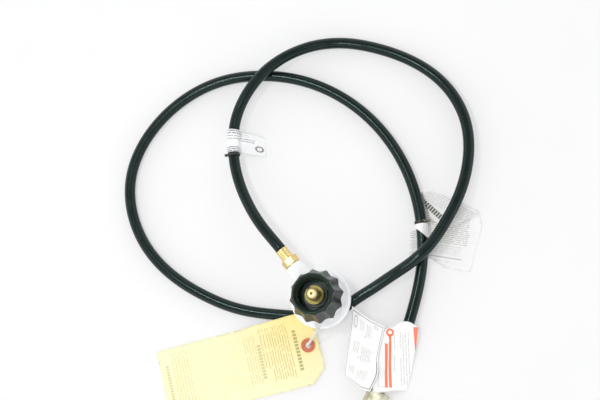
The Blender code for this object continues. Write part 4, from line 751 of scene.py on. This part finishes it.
def paper(name, rows, columns, at, thickness, look, *nodes):
    """Paper piece over a grid: at gives the middle point and the print coordinates of a
    place from its shares down and across the grid."""
    places = [[at(i / (rows - 1), k / (columns - 1)) for k in range(columns)]
              for i in range(rows)]
    grid = np.array([[tuple(point) for point, _ in row] for row in places])
    normal = np.cross(np.gradient(grid, axis=0), np.gradient(grid, axis=1))
    normal /= np.linalg.norm(normal, axis=2, keepdims=True)
    if normal[:, :, 2].mean() < 0:
        normal = -normal
    verts = np.vstack([(grid + normal * thickness * way).reshape(-1, 3) for way in (0.5, -0.5)])
    at = np.arange(rows * columns).reshape(rows, columns)
    half = at.size
    faces = []
    for a, b, c, d in quads(at):
        faces += [(a, b, c, d), (half + a, half + d, half + c, half + b)]
    rim = np.concatenate([at[0], at[1:, -1], at[-1, -2::-1], at[-2:0:-1, 0]]).tolist()
    faces += [(a, half + a, half + b, b) for a, b in zip(rim, rim[1:] + rim[:1])]
    mesh = mesh_of(verts, faces, [uv for row in places for _, uv in row] * 2)
    return add_piece(name, mesh, look, "paper", *nodes)


def encloses(loop, x, y):
    """Whether a loop of points in plan goes round a place."""
    xs, ys = np.array(loop).T
    xn, yn = np.roll(xs, -1), np.roll(ys, -1)
    with np.errstate(divide="ignore", invalid="ignore"):
        cross = (ys > y) != (yn > y)
        at = (xn - xs) * (y - ys) / (yn - ys) + xs
    return int(np.sum(cross & (x < at))) % 2 == 1


def cut_sheet(outline, height, thickness, uv_at, spacing, holes=()):
    """Sheet cut to an outline in plan, its middle at height(x, y), with a fine mesh."""
    loops, spots, edges = [], [], []
    for rough in (outline, *holes):
        loop = []
        for a, b in zip(rough, rough[1:] + rough[:1]):
            count = max(1, int(math.hypot(b[0] - a[0], b[1] - a[1]) / spacing))
            loop += [(a[0] + (b[0] - a[0]) * k / count, a[1] + (b[1] - a[1]) * k / count)
                     for k in range(count)]
        first = len(spots)
        spots += [Vector(p) for p in loop]
        edges += [(first + k, first + (k + 1) % len(loop)) for k in range(len(loop))]
        loops.append(np.array(loop))

    def on_sheet(x, y):
        return encloses(loops[0], x, y) and not any(encloses(hole, x, y) for hole in loops[1:])

    rims = np.vstack(loops)
    (x_low, y), (x_high, y_high) = loops[0].min(axis=0), loops[0].max(axis=0)
    row = 0
    while y < y_high:
        x = x_low + (spacing / 2 if row % 2 else 0)
        while x < x_high:
            clear = np.min(np.hypot(rims[:, 0] - x, rims[:, 1] - y)) > spacing * 0.6
            if clear and on_sheet(x, y):
                spots.append(Vector((x, y)))
            x += spacing
        y += spacing * 0.87
        row += 1
    flat, _, triangles, *_ = geometry.delaunay_2d_cdt(spots, edges, [], 0, 1e-9)
    kept = [tuple(t) for t in triangles
            if on_sheet(sum(flat[i].x for i in t) / 3, sum(flat[i].y for i in t) / 3)]
    used = sorted({i for t in kept for i in t})
    number = {old: new for new, old in enumerate(used)}
    step = 0.2 * MM
    verts, uvs = [], []
    for way in (0.5, -0.5):
        for x, y in (flat[i] for i in used):
            z = height(x, y)
            lean = Vector((z - height(x + step, y), z - height(x, y + step), step)).normalized()
            verts.append(Vector((x, y, z)) + lean * thickness * way)
            uvs.append(uv_at(x, y))
    half = len(used)
    tops = [tuple(number[i] for i in t) for t in kept]
    faces = tops + [tuple(half + i for i in reversed(t)) for t in tops]
    sides = [side for t in tops for side in zip(t, t[1:] + t[:1])]
    known = set(sides)
    faces += [(b, a, half + a, half + b) for a, b in sides if (b, a) not in known]
    return mesh_of(verts, faces, uvs)


# ---- the hose and the regulator
def make_hose():
    """Free stretch of hose, and the points of its centre line."""
    points = route_at(np.linspace(0, DISTANCE[-1], 620))
    mesh = tube_mesh(points, HOSE_RADIUS, 28, level=True)
    return add_piece("free_hose", mesh, RUBBER, "hose_rubber", "hose"), points


VOXEL = 0.42 * MM
CAST_FACETS = 40


def cast_mesh(node, rounds):
    """The node's shape as a casting: corners softened, its facets turned round again."""
    trial = link(node + "_trial", node_mesh(node))
    remesh = trial.modifiers.new("remesh", "REMESH")
    remesh.mode = "VOXEL"
    remesh.voxel_size = VOXEL
    smooth = trial.modifiers.new("smooth", "SMOOTH")
    smooth.factor = 0.5
    smooth.iterations = rounds
    graph = bpy.context.evaluated_depsgraph_get()
    made = bpy.data.meshes.new_from_object(trial.evaluated_get(graph))
    bpy.data.objects.remove(trial, do_unlink=True)
    flat = np.empty(len(made.vertices) * 3)
    made.vertices.foreach_get("co", flat)
    spots = flat.reshape(-1, 3)
    wedge = TURN / CAST_FACETS
    angle = np.arctan2(spots[:, 1], spots[:, 0])
    middle = (np.floor(angle / wedge) + 0.5) * wedge
    spots[:, :2] *= (np.cos(angle - middle) / math.cos(wedge / 2))[:, None]
    made.vertices.foreach_set("co", flat)
    made.update()
    made.shade_smooth()
    return made


def soft_min(values, limit, blur=0.12):
    gap = np.clip((values - limit) / blur, -30, 30)
    return values - blur * np.log1p(np.exp(gap))


def hexagon(flats, segments, crisp=46):
    """Radii of a hexagon with slightly rounded corners, one per segment."""
    angles = np.arange(segments) * TURN / segments
    total = np.zeros(segments)
    for k in range(6):
        face = math.pi / 2 + k * math.pi / 3
        total += np.maximum(np.cos(angles - face), 0.0) ** crisp
    return flats / 2 / total ** (1.0 / crisp)


def chamfered(flats, segments, base, end, slope=0.5, bite=0.45):
    """Stations of a hexagon whose corners are turned off at both ends."""
    hexa = hexagon(flats, segments)
    cuts = [(soft_min(hexa, flats / 2 - bite + s / slope), s)
            for s in (0.0, 0.2, 0.4, 0.6, 0.8, 1.0, 1.3, 1.7, 2.1)]
    return [(r, base + s) for r, s in cuts] + [(r, end - s) for r, s in reversed(cuts)]


def thread(heights, segments, major, minor, pitch, first, last):
    """Stations of an internal right-hand thread at falling heights."""
    stations = []
    for height in heights:
        phase = np.mod((height - first) / pitch - np.arange(segments) / segments, 1.0)
        ridge = np.clip((0.5 - np.abs(phase - 0.5)) / 0.5, 0, 1)
        ridge = np.clip((0.36 - ridge) / 0.14 + 0.5, 0, 1)
        ridge = ridge * ridge * (3 - 2 * ridge)
        fade = min(max((height - first) / pitch, 0.0), 1.0)
        fade *= min(max((last - height) / pitch * 1.6, 0.0), 1.0)
        stations.append((major - (major - minor) * ridge * fade, float(height)))
    return stations


def wheel_radius(angle, height):
    """Outer radius of the lobed grip, as in part.py."""
    foot_radius, taper, lobe_depth = 25.4, 5.0, 2.6
    rim = foot_radius - taper * min((height - 40.0) / 20.0, 1.0)
    if height > 60.0:
        rim -= 2.8 * ((height - 60.0) / 6.0) ** 1.4
    phase = abs(math.sin(6 * angle))
    arch = 1.0 - min(max((height - 58.8) / 6.0, 0), 1)
    arch = arch * arch * (3 - 2 * arch)
    return rim - lobe_depth * arch * math.sqrt(phase * phase + 0.012) ** 1.3


def make_wheel():
    """Hand wheel with its lobes, inlet thread and the groove of its bush."""
    segments = 288

    def outer(height, tuck=0.0, level=None):
        radii = [wheel_radius(TURN * k / segments, height) - tuck for k in range(segments)]
        return radii, height if level is None else level

    stations = [(11.2, 40.0), outer(40.0, 1.0), outer(40.0, 0.5, 40.12), outer(40.3, 0.15, 40.4),
                outer(40.8, 0.0, 40.9)]
    stations += [outer(h) for h in (*np.arange(42.0, 57.0, 1.5), *np.arange(57.0, 65.6, 0.5))]
    stations += [outer(65.8, 0.15), outer(66.0, 0.5, 65.97), (16.75, 66.0), (16.45, 65.9),
                 (16.28, 65.6), (16.2, 65.2)]
    stations += thread(np.arange(64.9, 46.2, -0.27), segments, 16.2, 14.2, 5.08, 46.0, 64.6)
    stations += [(16.2, 46.0), (15.9, 45.55), (15.4, 45.4), (8.4, 45.4), (8.0, 45.1), (8.0, 41.6),
                 (8.2, 41.4), (10.2, 41.4), (10.5, 41.1), (10.5, 40.4)]
    turned("wheel_grip", stations, segments, NYLON, "wheel_plastic", "hand_wheel", body="wheel")


def make_regulator():
    """Both castings, the inlet nipple, the heat-sensitive bush and the closing cap."""
    for name, node, rounds in (("casting_body", "regulator_body", 5),
                               ("casting_bonnet", "bonnet", 4)):
        add_piece(name, cast_mesh(node, rounds), PAINT, "casting", node)
    nose = [
        (3.4, 33.8), (6.2, 33.8), (6.2, 38.8), (9.5, 38.8), (9.5, 40.6), (6.0, 40.6), (6.0, 51.2),
        (5.2, 51.2), (5.2, 52.8), (5.6, 52.8), (5.6, 62.4), (5.35, 63.9), (4.75, 65.2), (4.0, 66.2),
        (3.4, 66.8), (2.7, 67.0), (1.5, 67.0), (1.15, 66.6), (1.15, 63.0), (3.4, 62.0),
    ]
    turned("nipple_nose", rounded(nose, 0.3), 72, BRASS_Z, "brass", "inlet_nipple")
    bush = [(6.4, 40.9), (7.7, 40.9), (7.7, 45.7), (11.2, 45.7), (11.2, 47.7), (6.4, 47.7)]
    turned("heat_ring", rounded(bush, 0.35), 72, BLACK, "black_plastic", "heat_bush", body="bush")
    cap = [(0.01, 0.0), (8.3, 0.0), (9.0, 0.7), (9.0, 3.0), (7.0, 3.0), (7.0, 3.6), (0.01, 3.6)]
    turned("bonnet_plug", rounded(cap, 0.25, closed=False), 64, BLACK, "black_plastic",
           "bonnet_cap", closed=False)


def make_springs():
    """Both coil springs, each riding on the piece at its upper end.
    """
    for node, body, joint, drop in (
            ("main_spring", "diaphragm_stack", "diaphragm_travel", 1.6 * MM),
            ("limiter_spring", "flow_limiter", "limiter_travel", 2.5 * MM)):
        spring = add_piece(node + "_coil", node_mesh(node), STEEL, "steel", node, body=body)
        low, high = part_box(node)
        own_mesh(spring)


def ferrule(base, way):
    """Stations of a crimped ferrule from its closed end, with shallow crimp rings."""
    outer = [(5.72, 0.0), (5.9, 0.18), (5.9, 1.9), (5.8, 2.2)]
    for s in (2.6, 4.65, 6.7):
        outer += [(5.56, s), (5.5, s + 0.3), (5.5, s + 1.0), (5.56, s + 1.3), (5.78, s + 1.65)]
    outer += [(5.86, 9.0), (5.9, 9.4), (5.9, 10.2), (5.72, 10.4), (5.2, 10.4), (5.1, 10.25)]
    outer += [(5.1, 0.8), (3.3, 0.8), (3.3, 0.0)]
    return [(r, base + way * s) for r, s in outer]


def make_outlet():
    """Hexagon insert and crimped ferrule between the outlet boss and the hose."""
    turn = Matrix.Translation((0, 0, 28.0)) @ Matrix.Rotation(-math.pi / 2, 4, "X")
    segments = 96
    stations = [(2.2, 29.8), (5.9, 29.8), (6.4, 30.4), (6.4, 38.8)]
    stations += chamfered(14.3, segments, 38.8, 46.3)
    stations += [(3.1, 46.3), (3.0, 46.4), (3.0, 56.0), (2.2, 56.0)]
    turned("outlet_hex", stations, segments, BRASS_Y, "brass", "hose_insert", turn)
    turned("outlet_ferrule", ferrule(46.6, 1), 72, BRASS_Y, "brass", "ferrule_regulator_end", turn)


def make_far_end():
    """Ferrule, insert and swivel nut at the free end."""
    side = HEADING.cross(UP)
    turn = Matrix.Translation(FAR_END / MM)
    turn = turn @ Matrix((side, UP * -1, HEADING)).transposed().to_4x4()
    insert = [
        (2.2, 1.3), (3.0, 1.3), (3.0, 11.0), (5.5, 11.0), (5.5, 12.4), (4.6, 12.7), (4.6, 18.5),
        (7.3, 18.5), (7.3, 22.2), (6.3, 22.2), (2.8, 19.5), (2.2, 19.5),
    ]
    segments = 120
    nut = [(4.9, 13.2), (5.1, 13.0), *chamfered(19.0, segments, 13.0, 31.7, 0.6, 0.4),
           (8.7, 31.7), (8.5, 31.5),
           *thread(np.arange(31.2, 22.6, -0.24), segments, 8.0, 7.35, 1.8, 22.4, 30.9),
           (7.6, 22.4), (7.6, 18.2), (4.9, 18.2)]
    return [
        turned("far_ferrule", ferrule(10.7, -1), 72, BRASS, "brass", "ferrule_far_end", turn),
        turned("flare_seat", rounded(insert, 0.18, 2), 64, PALE_BRASS, "brass", "flare_insert",
               turn),
        turned("swivel_nut", nut, segments, PALE_BRASS, "brass", "flare_nut", turn, body="nut"),
    ]


# ---- paper pieces
WOUND_RADIUS = HOSE_RADIUS + 0.45 * MM
WOUND_FROM = -2.2
PRINT_AXES = (Vector((0.781, -0.625)), Vector((-0.625, -0.781)))
MIDDLE_PRINT = (Vector((135.6, 23.5)) * MM, *PRINT_AXES)
END_PRINT = (Vector((23.8, -55.6)) * MM, *PRINT_AXES)
TAG_CORNER = Vector((-156.8, 64.2)) * MM
TAG_ALONG = Vector((0.9095, -0.4155)).normalized()
TAG_ACROSS = Vector((-0.4155, -0.9095)).normalized()
TAG_PRINT = (TAG_CORNER, TAG_ALONG, TAG_ACROSS)
TAG_LENGTH, TAG_WIDTH, TAG_CLIP = 155.5, 66.7, 13.0
EYELET = TAG_CORNER + TAG_ALONG * 145 * MM + TAG_ACROSS * 30.5 * MM
EYELET_RADIUS = 2.8

# Small nets of points in mm, each row running across its page.
FOLD_NET = [
    [(135.1, 21.5, 0.9), (148.2, 7.2, 1.2), (158.0, -12.4, 2.4), (163.1, -27.3, 5.0)],
    [(130.6, 10.0, 1.0), (143.3, -6.9, 1.8), (150.6, -18.6, 4.4), (161.3, -28.1, 7.4)],
    [(124.8, -5.6, 0.9), (132.7, -18.3, 1.5), (139.2, -23.8, 4.5), (158.7, -29.2, 8.6)],
]
LEFT_NET = [
    [(17.9, -22.5, 10.5), (20.8, -33.9, 11.0), (24.8, -46.2, 12.8), (30.1, -57.1, 14.6)],
    [(4.8, -36.0, 8.0), (10.5, -44.9, 9.5), (15.1, -55.4, 12.5), (19.3, -65.4, 15.6)],
    [(-10.5, -49.5, 6.0), (-4.2, -57.7, 8.0), (1.5, -67.1, 12.0), (7.2, -75.5, 16.6)],
    [(-25.6, -63.7, 3.5), (-18.1, -70.4, 7.0), (-10.2, -78.7, 12.5), (-1.8, -86.7, 18.0)],
    [(-27.7, -66.7, 3.0), (-24.8, -77.2, 6.5), (-22.8, -87.1, 12.0), (-17.1, -94.8, 20.0)],
]
RIGHT_NET = [
    [(25.6, -58.0, 13.2), (32.0, -60.3, 13.2), (36.4, -62.0, 12.5), (42.2, -62.0, 12.0),
     (47.2, -64.6, 12.0), (50.7, -68.9, 11.6), (53.0, -76.0, 5.7)],
    [(15.2, -66.6, 13.8), (20.4, -70.2, 13.0), (24.9, -73.1, 12.0), (28.8, -75.7, 12.1),
     (33.1, -79.2, 12.8), (37.2, -82.2, 9.1), (43.6, -85.2, 3.8)],
    [(4.0, -76.2, 14.5), (8.9, -80.2, 14.0), (13.5, -83.8, 13.3), (17.5, -87.0, 14.1),
     (21.2, -89.8, 10.8), (24.9, -92.6, 7.2), (30.6, -95.7, 2.1)],
    [(-5.2, -86.2, 15.0), (-0.2, -90.2, 14.7), (4.1, -93.6, 14.8), (7.8, -96.4, 11.5),
     (11.4, -99.2, 7.8), (14.8, -102.3, 3.9), (18.7, -105.8, 0.8)],
    [(-14.9, -96.5, 20.5), (-11.5, -100.4, 21.1), (-7.9, -102.6, 15.0), (-3.6, -105.1, 10.0),
     (0.3, -107.0, 6.9), (3.9, -109.9, 3.0), (7.8, -113.3, 0.6)],
]


def flat_uv(x, y, origin, right, down):
    """Print coordinates of a place in plan, in metres from the print's origin."""
    spot = Vector((x, y)) - origin
    return spot.dot(right), spot.dot(down)


def wound(distance, share, begin, growth=0.10 * MM):
    """Point at a share of one turn of a sheet wound round the hose."""
    place, side, up = hose_at(distance)
    angle = begin + TURN * share
    return place + (side * math.cos(angle) + up * math.sin(angle)) * (WOUND_RADIUS + growth * share)


def make_hose_label():
    """Label glued round the hose, its flag hanging to the table."""
    end, width, girth = 136.4 * MM, 22.8 * MM, 33.0 * MM
    around, hanging = 44, 24
    lean = -0.95
    gap = 0.30 * MM
    corners = Vector((53.4 * MM, 160.9 * MM, gap)), Vector((42.4 * MM, 145.0 * MM, gap))

    def at(down, across):
        place = end - width * down
        step = across * (around + hanging)
        if step < around + 0.5:
            return wound(place, step / around, lean), (girth * step / around, width * down)
        t = (step - around) / hanging
        _, side, up = hose_at(place)
        out = side * -math.sin(lean) + up * math.cos(lean)
        foot, tip = wound(place, 1.0, lean), corners[0].lerp(corners[1], down)
        point = foot.lerp(tip, t) + out * 2.2 * MM * t * (1 - t) ** 3
        wave = 0.9 * MM * math.sin(math.pi * t) * (0.8 + math.sin(4.0 * t + down))
        point.z = max(point.z + wave, gap)
        return point, (girth + (tip - foot).length * t, width * down)

    return paper("hose_flag", 16, around + hanging + 1, at, 0.30 * MM, LABEL, "hose_label")


def clear_ridge(spans, clearance):
    """Top of the hose between arc lengths in mm, as rows of x, y and clear height."""
    where = np.concatenate([np.arange(a * MM, b * MM, MM) for a, b in spans])
    return route_at(where[where <= DISTANCE[-1]]) + (0, 0, HOSE_RADIUS + clearance)


def over(ridge, x, y, slope, rest=2.2 * MM):
    """Height of a sheet that leans on the ridge and falls away to both sides."""
    fall = np.sqrt((ridge[:, 0] - x) ** 2 + (ridge[:, 1] - y) ** 2 + rest ** 2) - rest
    return float(np.max(ridge[:, 2] - slope * fall))


def make_middle_leaflet():
    """Leaflet under the hose half way, the strip wound round the hose and its upper page."""
    outline = [
        (143.2, 15.7), (157.5, -11.5), (164.0, -26.7), (158.0, -40.0), (122.0, -65.8),
        (106.7, -48.4), (102.8, -34.3), (89.3, -17.0), (103.1, -1.5),
    ]
    outline = [(x * MM, y * MM) for x, y in outline]
    for distance in (1.3692, 1.3542, 1.3392):
        place, side, _ = hose_at(distance)
        outline.append(tuple(place - side * 3.6 * MM)[:2])

    def height(x, y):
        lift = 0.0
        for corner_x, corner_y, rise, reach in ((0.164, -0.0267, 2.4, 0.026),
                                                (0.122, -0.0658, 1.6, 0.020)):
            off = math.hypot(x - corner_x, y - corner_y)
            lift += rise * MM * max(0.0, 1 - off / reach) ** 1.6
        wave = math.sin(x * 95 + 1.3) * math.cos(y * 120 + x * 40)
        return 0.30 * MM + lift + 0.04 * MM * wave

    mesh = cut_sheet(outline, height, 0.22 * MM, lambda x, y: flat_uv(x, y, *MIDDLE_PRINT),
                     2.4 * MM)
    sheet = add_piece("leaflet_sheet", mesh, MIDDLE, "paper", "leaflet_middle")

    def strip(down, across):
        reach = (8.9 - 5.3 * math.cos(WOUND_FROM + TURN * across)) * MM * down
        return wound(1.3688 + reach, across, WOUND_FROM, 0.088 * MM), (-0.2, reach)

    def fold(down, across):
        point = on_net(FOLD_NET, down, across)
        return point, flat_uv(point.x, point.y, *MIDDLE_PRINT)

    return [sheet, paper("leaflet_wrap", 14, 45, strip, 0.3 * MM, MIDDLE),
            paper("leaflet_fold", 24, 40, fold, 0.24 * MM, FOLD)]


def make_end_leaflet():
    """Leaflet folded over the last stretch of hose, with a band that holds it."""
    clearance = 0.55 * MM
    nut_sweep = 10.97 * MM
    steps = np.linspace(0, 11.0 * MM, 12)
    top = FAR_END.z + 5.9 * MM + clearance
    fitting = [(FAR_END.x + HEADING.x * s, FAR_END.y + HEADING.y * s, top) for s in steps]
    ridge = np.vstack([clear_ridge(((1440, 1521), (645, 675)), clearance + 0.1 * MM), fitting])

    def clear(point, lift):
        """Point raised off the hose, the ferrule and the turning nut."""
        high = max(point.z, over(ridge, point.x, point.y, 0.9) + lift)
        spot = point - FAR_END
        along = spot.x * HEADING.x + spot.y * HEADING.y
        across = spot.x * HEADING.y - spot.y * HEADING.x
        if 12.2 * MM < along < 32.5 * MM and abs(across) < nut_sweep:
            arch = math.sqrt(nut_sweep ** 2 - across ** 2)
            high = max(high, FAR_END.z + arch + 0.7 * MM + lift)
        return Vector((point.x, point.y, max(high, 0.35 * MM)))

    def right_page(down, across):
        point = clear(on_net(RIGHT_NET, down, across), 0.0)
        return point, flat_uv(point.x, point.y, *END_PRINT)

    def left_page(down, across):
        return clear(on_net(LEFT_NET, down, across), 0.8 * MM), (0.058 * down, 0.048 * across)

    def strip(down, across):
        return wound(1.4868 + 0.010 * down, across, WOUND_FROM), (-0.1, 0.007 * down)

    return [paper("end_leaflet", 46, 54, right_page, 0.28 * MM, END, "leaflet_end"),
            paper("end_page", 46, 40, left_page, 0.28 * MM, PAGE),
            paper("end_wrap", 8, 37, strip, 0.3 * MM, END)]


def make_tag():
    """Card tag with clipped corners, leaning on the hose at one corner."""
    far, side = TAG_LENGTH - TAG_CLIP, TAG_WIDTH - TAG_CLIP
    outline = [tuple(TAG_CORNER + TAG_ALONG * u * MM + TAG_ACROSS * v * MM)
               for u, v in ((0, 0), (far, 0), (TAG_LENGTH, TAG_CLIP), (TAG_LENGTH, side),
                            (far, TAG_WIDTH), (0, TAG_WIDTH))]
    hole = [tuple(EYELET + Vector((math.cos(a), math.sin(a))) * EYELET_RADIUS * MM)
            for a in np.linspace(0, TURN, 29)[:-1]]
    ridge = clear_ridge(((640, 760),), 0.55 * MM)

    def uv_at(x, y):
        return flat_uv(x, y, *TAG_PRINT)

    def height(x, y):
        u, v = uv_at(x, y)
        rise = 2.1 * MM * min(max((u / (TAG_LENGTH * MM) - 0.4) / 0.4, 0.0), 1.0)
        wave = 0.12 * MM * (1 + math.sin(u * 70) * math.cos(v * 60))
        return max(0.30 * MM + rise, over(ridge, x, y, 0.6)) + wave * (u < 0.10)

    mesh = cut_sheet(outline, height, 0.45 * MM, uv_at, 2.6 * MM, [hole])
    add_piece("card_tag", mesh, CARD, "yellow_card", "tag_card")
    ring = [(EYELET_RADIUS, 3.0), (6.6, 3.0), (6.6, 3.5), (EYELET_RADIUS, 3.5)]
    turned("fibre_patch", rounded(ring, 0.16, 2), 56, FIBRE, "red_fibre", "tag_eyelet",
           Matrix.Translation((EYELET.x / MM, EYELET.y / MM, 0)))


# ---- string
def strand(name, points, *nodes, radius=0.65 * MM, depth=0.16 * MM):
    """Piece of string, with three lobes twisted along it."""
    mesh = tube_mesh(points, radius, 12, lobes=3, depth=depth, lay=2300.0)
    return add_piece(name, mesh, STRING, "string", *nodes)


def make_string():
    """Loop round the hub, its knot at the flange's rim, and the strands to the eyelet."""
    low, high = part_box("string_knot")
    knot = (Vector(low) + Vector(high)) / 2
    way = Vector((-18.5, -20.9, 0)).normalized()
    side = Vector((-way.y, way.x, 0))
    heading = math.atan2(way.y, way.x)
    level, radius, edge = 37.75 * MM, 14.95 * MM, 17.85 * MM
    spread = math.radians(14)

    def spoke(angle, length):
        return Vector((math.cos(angle) * length, math.sin(angle) * length, level))

    inner = knot - way * 1.5 * MM
    loop = [inner + side * 0.9 * MM, spoke(heading + spread / 2, edge)]
    loop += [spoke(heading + spread + (TURN - 2 * spread) * i / 26, radius) for i in range(27)]
    loop += [spoke(heading - spread / 2, edge), inner - side * 0.9 * MM]
    strand("hub_string", fine_line(loop), "string_loop")

    points = []
    axis_y = Vector((0.2, 0.1, 1.0)).normalized().cross(way).normalized()
    axis_z = way.cross(axis_y)
    for k in range(97):
        t = TURN * k / 96
        r = 0.80 + 0.42 * math.cos(3 * t)
        points.append(knot + (way * 0.45 * math.sin(3 * t) * 1.6 + axis_y * r * math.cos(2 * t)
                              + axis_z * r * math.sin(2 * t)) * MM)
    strand("tied_knot", points, "string_knot", radius=0.60 * MM, depth=0.14 * MM)

    eyelet = Vector((EYELET.x, EYELET.y, 0))
    along = Vector((TAG_ALONG.x, TAG_ALONG.y, 0))
    top = eyelet + UP * 4.45 * MM
    begin = knot + (top - knot).normalized() * 1.6 * MM + side * 0.3 * MM
    under = UP * 0.75 * MM
    rim = eyelet + along * 11.75 * MM
    centre = fine_line([
        begin, begin.lerp(top, 0.35), begin.lerp(top, 0.7), top + UP * 0.6 * MM,
        eyelet + UP * 2.8 * MM, eyelet + under + along * 1.2 * MM,
        rim + under - along * 2.0 * MM, rim + under + UP * 1.2 * MM])
    strands = []
    for k, name in enumerate(("tag_string", "tag_string_two", "tag_string_three")):
        line = []
        for i, (point, (right, up)) in enumerate(zip(centre, ring_frames(centre, False))):
            turn = TURN * (k / 3 + i * 0.5 / 13.0)
            spot = point + (right * math.cos(turn) + up * math.sin(turn)) * 0.72 * MM
            line.append(Vector((spot.x, spot.y, max(spot.z, 0.70 * MM))))
        if k:
            line = line[:int(len(line) * 0.72)]
        strands.append((strand(name, line, *(() if k else ("string_tail",))), line))
    return strands


# ---- CAD nodes that stay
def dress_nodes():
    """Give every CAD node that still shows the look of its material slot, but the snap ring a
    yellow zinc made darker with painted shade.
    """
    looks = {
        "casting": PAINT, "brass": BRASS, "steel": STEEL, "wheel_plastic": NYLON,
        "black_plastic": BLACK, "hose_rubber": TAIL_RUBBER, "seal_rubber": SEAL, "paper": LABEL,
        "yellow_card": CARD, "red_fibre": FIBRE, "string": STRING, "olive_plastic": TIE,
    }
    for row in frame["record"]["subparts"]:
        name = row["node"]
        if name not in REPLACED:
            mesh = frame["nodes"][name].data
            mesh.materials.clear()
            # The snap ring gets yellow zinc darkened with painted shade.
            mesh.materials.append(PAINTED_SHADE_ZINC if name == "snap_ring"
                                  else looks[row["material_slot"]])


# ---- floor and light
def make_floor():
    """White table, which also glows a little where the camera sees it."""
    reach, low = 12.0, -0.0002
    verts = [(x * reach + 0.02, y * reach + 0.06, low)
             for x, y in ((-1, -1), (1, -1), (1, 1), (-1, 1))]
    mesh = mesh_of(verts, [(0, 1, 2, 3)])
    if mesh.polygons[0].normal.z < 0:
        mesh.flip_normals()
    mesh.name = "floor"
    floor = link("floor", mesh)
    look = Look("floor_white")
    colour = look.tones(look.noise(9.0, 4, 0.55), (0.93, 0.93, 0.935), (0.95, 0.95, 0.95),
                        0.35, 0.65)
    look.shade(colour=colour, rough=0.9, specular=0.0)
    rays = look.add("ShaderNodeLightPath").outputs
    seen = look.calc("MAXIMUM", rays["Is Camera Ray"], rays["Is Glossy Ray"],
                     rays["Is Transmission Ray"])
    glow = look.add("ShaderNodeEmission", {"Color": (0.955, 0.955, 0.96, 1.0), "Strength": 1.0})
    mixer = look.add("ShaderNodeMixShader", {0: look.times(seen, 0.45),
                                             1: look.shader.outputs[0], 2: glow.outputs[0]})
    look.put(look.tree.nodes["Material Output"].inputs["Surface"], mixer.outputs[0])
    mesh.materials.append(look.material)


def make_light():
    """Soft world, brighter low down, and four lamps aimed at the middle of the hose."""
    world = bpy.data.worlds.new("studio")
    bpy.context.scene.world = world
    world.use_nodes = True
    nodes = Nodes(world.node_tree)
    back = world.node_tree.nodes["Background"]
    back.inputs["Color"].default_value = (0.99, 0.995, 1.0, 1.0)
    height = nodes.split(nodes.coords("Generated"))[2]
    nodes.put(back.inputs["Strength"], nodes.remap(height, 0.30, 0.90, 1.42, 0.46))
    aim = Vector((0.03, 0.08, 0.0))
    for name, place, size, power in (
            ("key", (-0.17, 0.31, 1.00), 0.09, 1.75),
            ("fill_left", (-0.31, -0.11, 1.00), 0.09, 0.85),
            ("fill_back", (-0.14, -0.02, 1.00), 0.08, 0.62),
            ("fill_right", (0.26, 0.06, 1.00), 0.08, 0.25)):
        data = bpy.data.lights.new(name, "AREA")
        data.shape = "DISK"
        data.size = size
        data.energy = power
        lamp = link(name, data)
        lamp.location = place
        lamp.rotation_euler = (aim - Vector(place)).to_track_quat("-Z", "Y").to_euler()
    bpy.context.scene.view_settings.view_transform = "Standard"


# ---- assembly
make_camera()
hose, hose_points = make_hose()
make_wheel()
make_regulator()
make_springs()
make_outlet()
far_pieces = make_far_end()
label_piece = make_hose_label()
middle_pieces = make_middle_leaflet()
end_pieces = make_end_leaflet()
make_tag()
strands = make_string()
tail, tail_line = strands[0]
tail_length = sum((b - a).length for a, b in zip(tail_line, tail_line[1:]))
dress_nodes()
[tuple(p) for p in hose_points]
tuple(tail_line[0])
[tuple(p) for p in tail_line]
make_floor()
make_light()
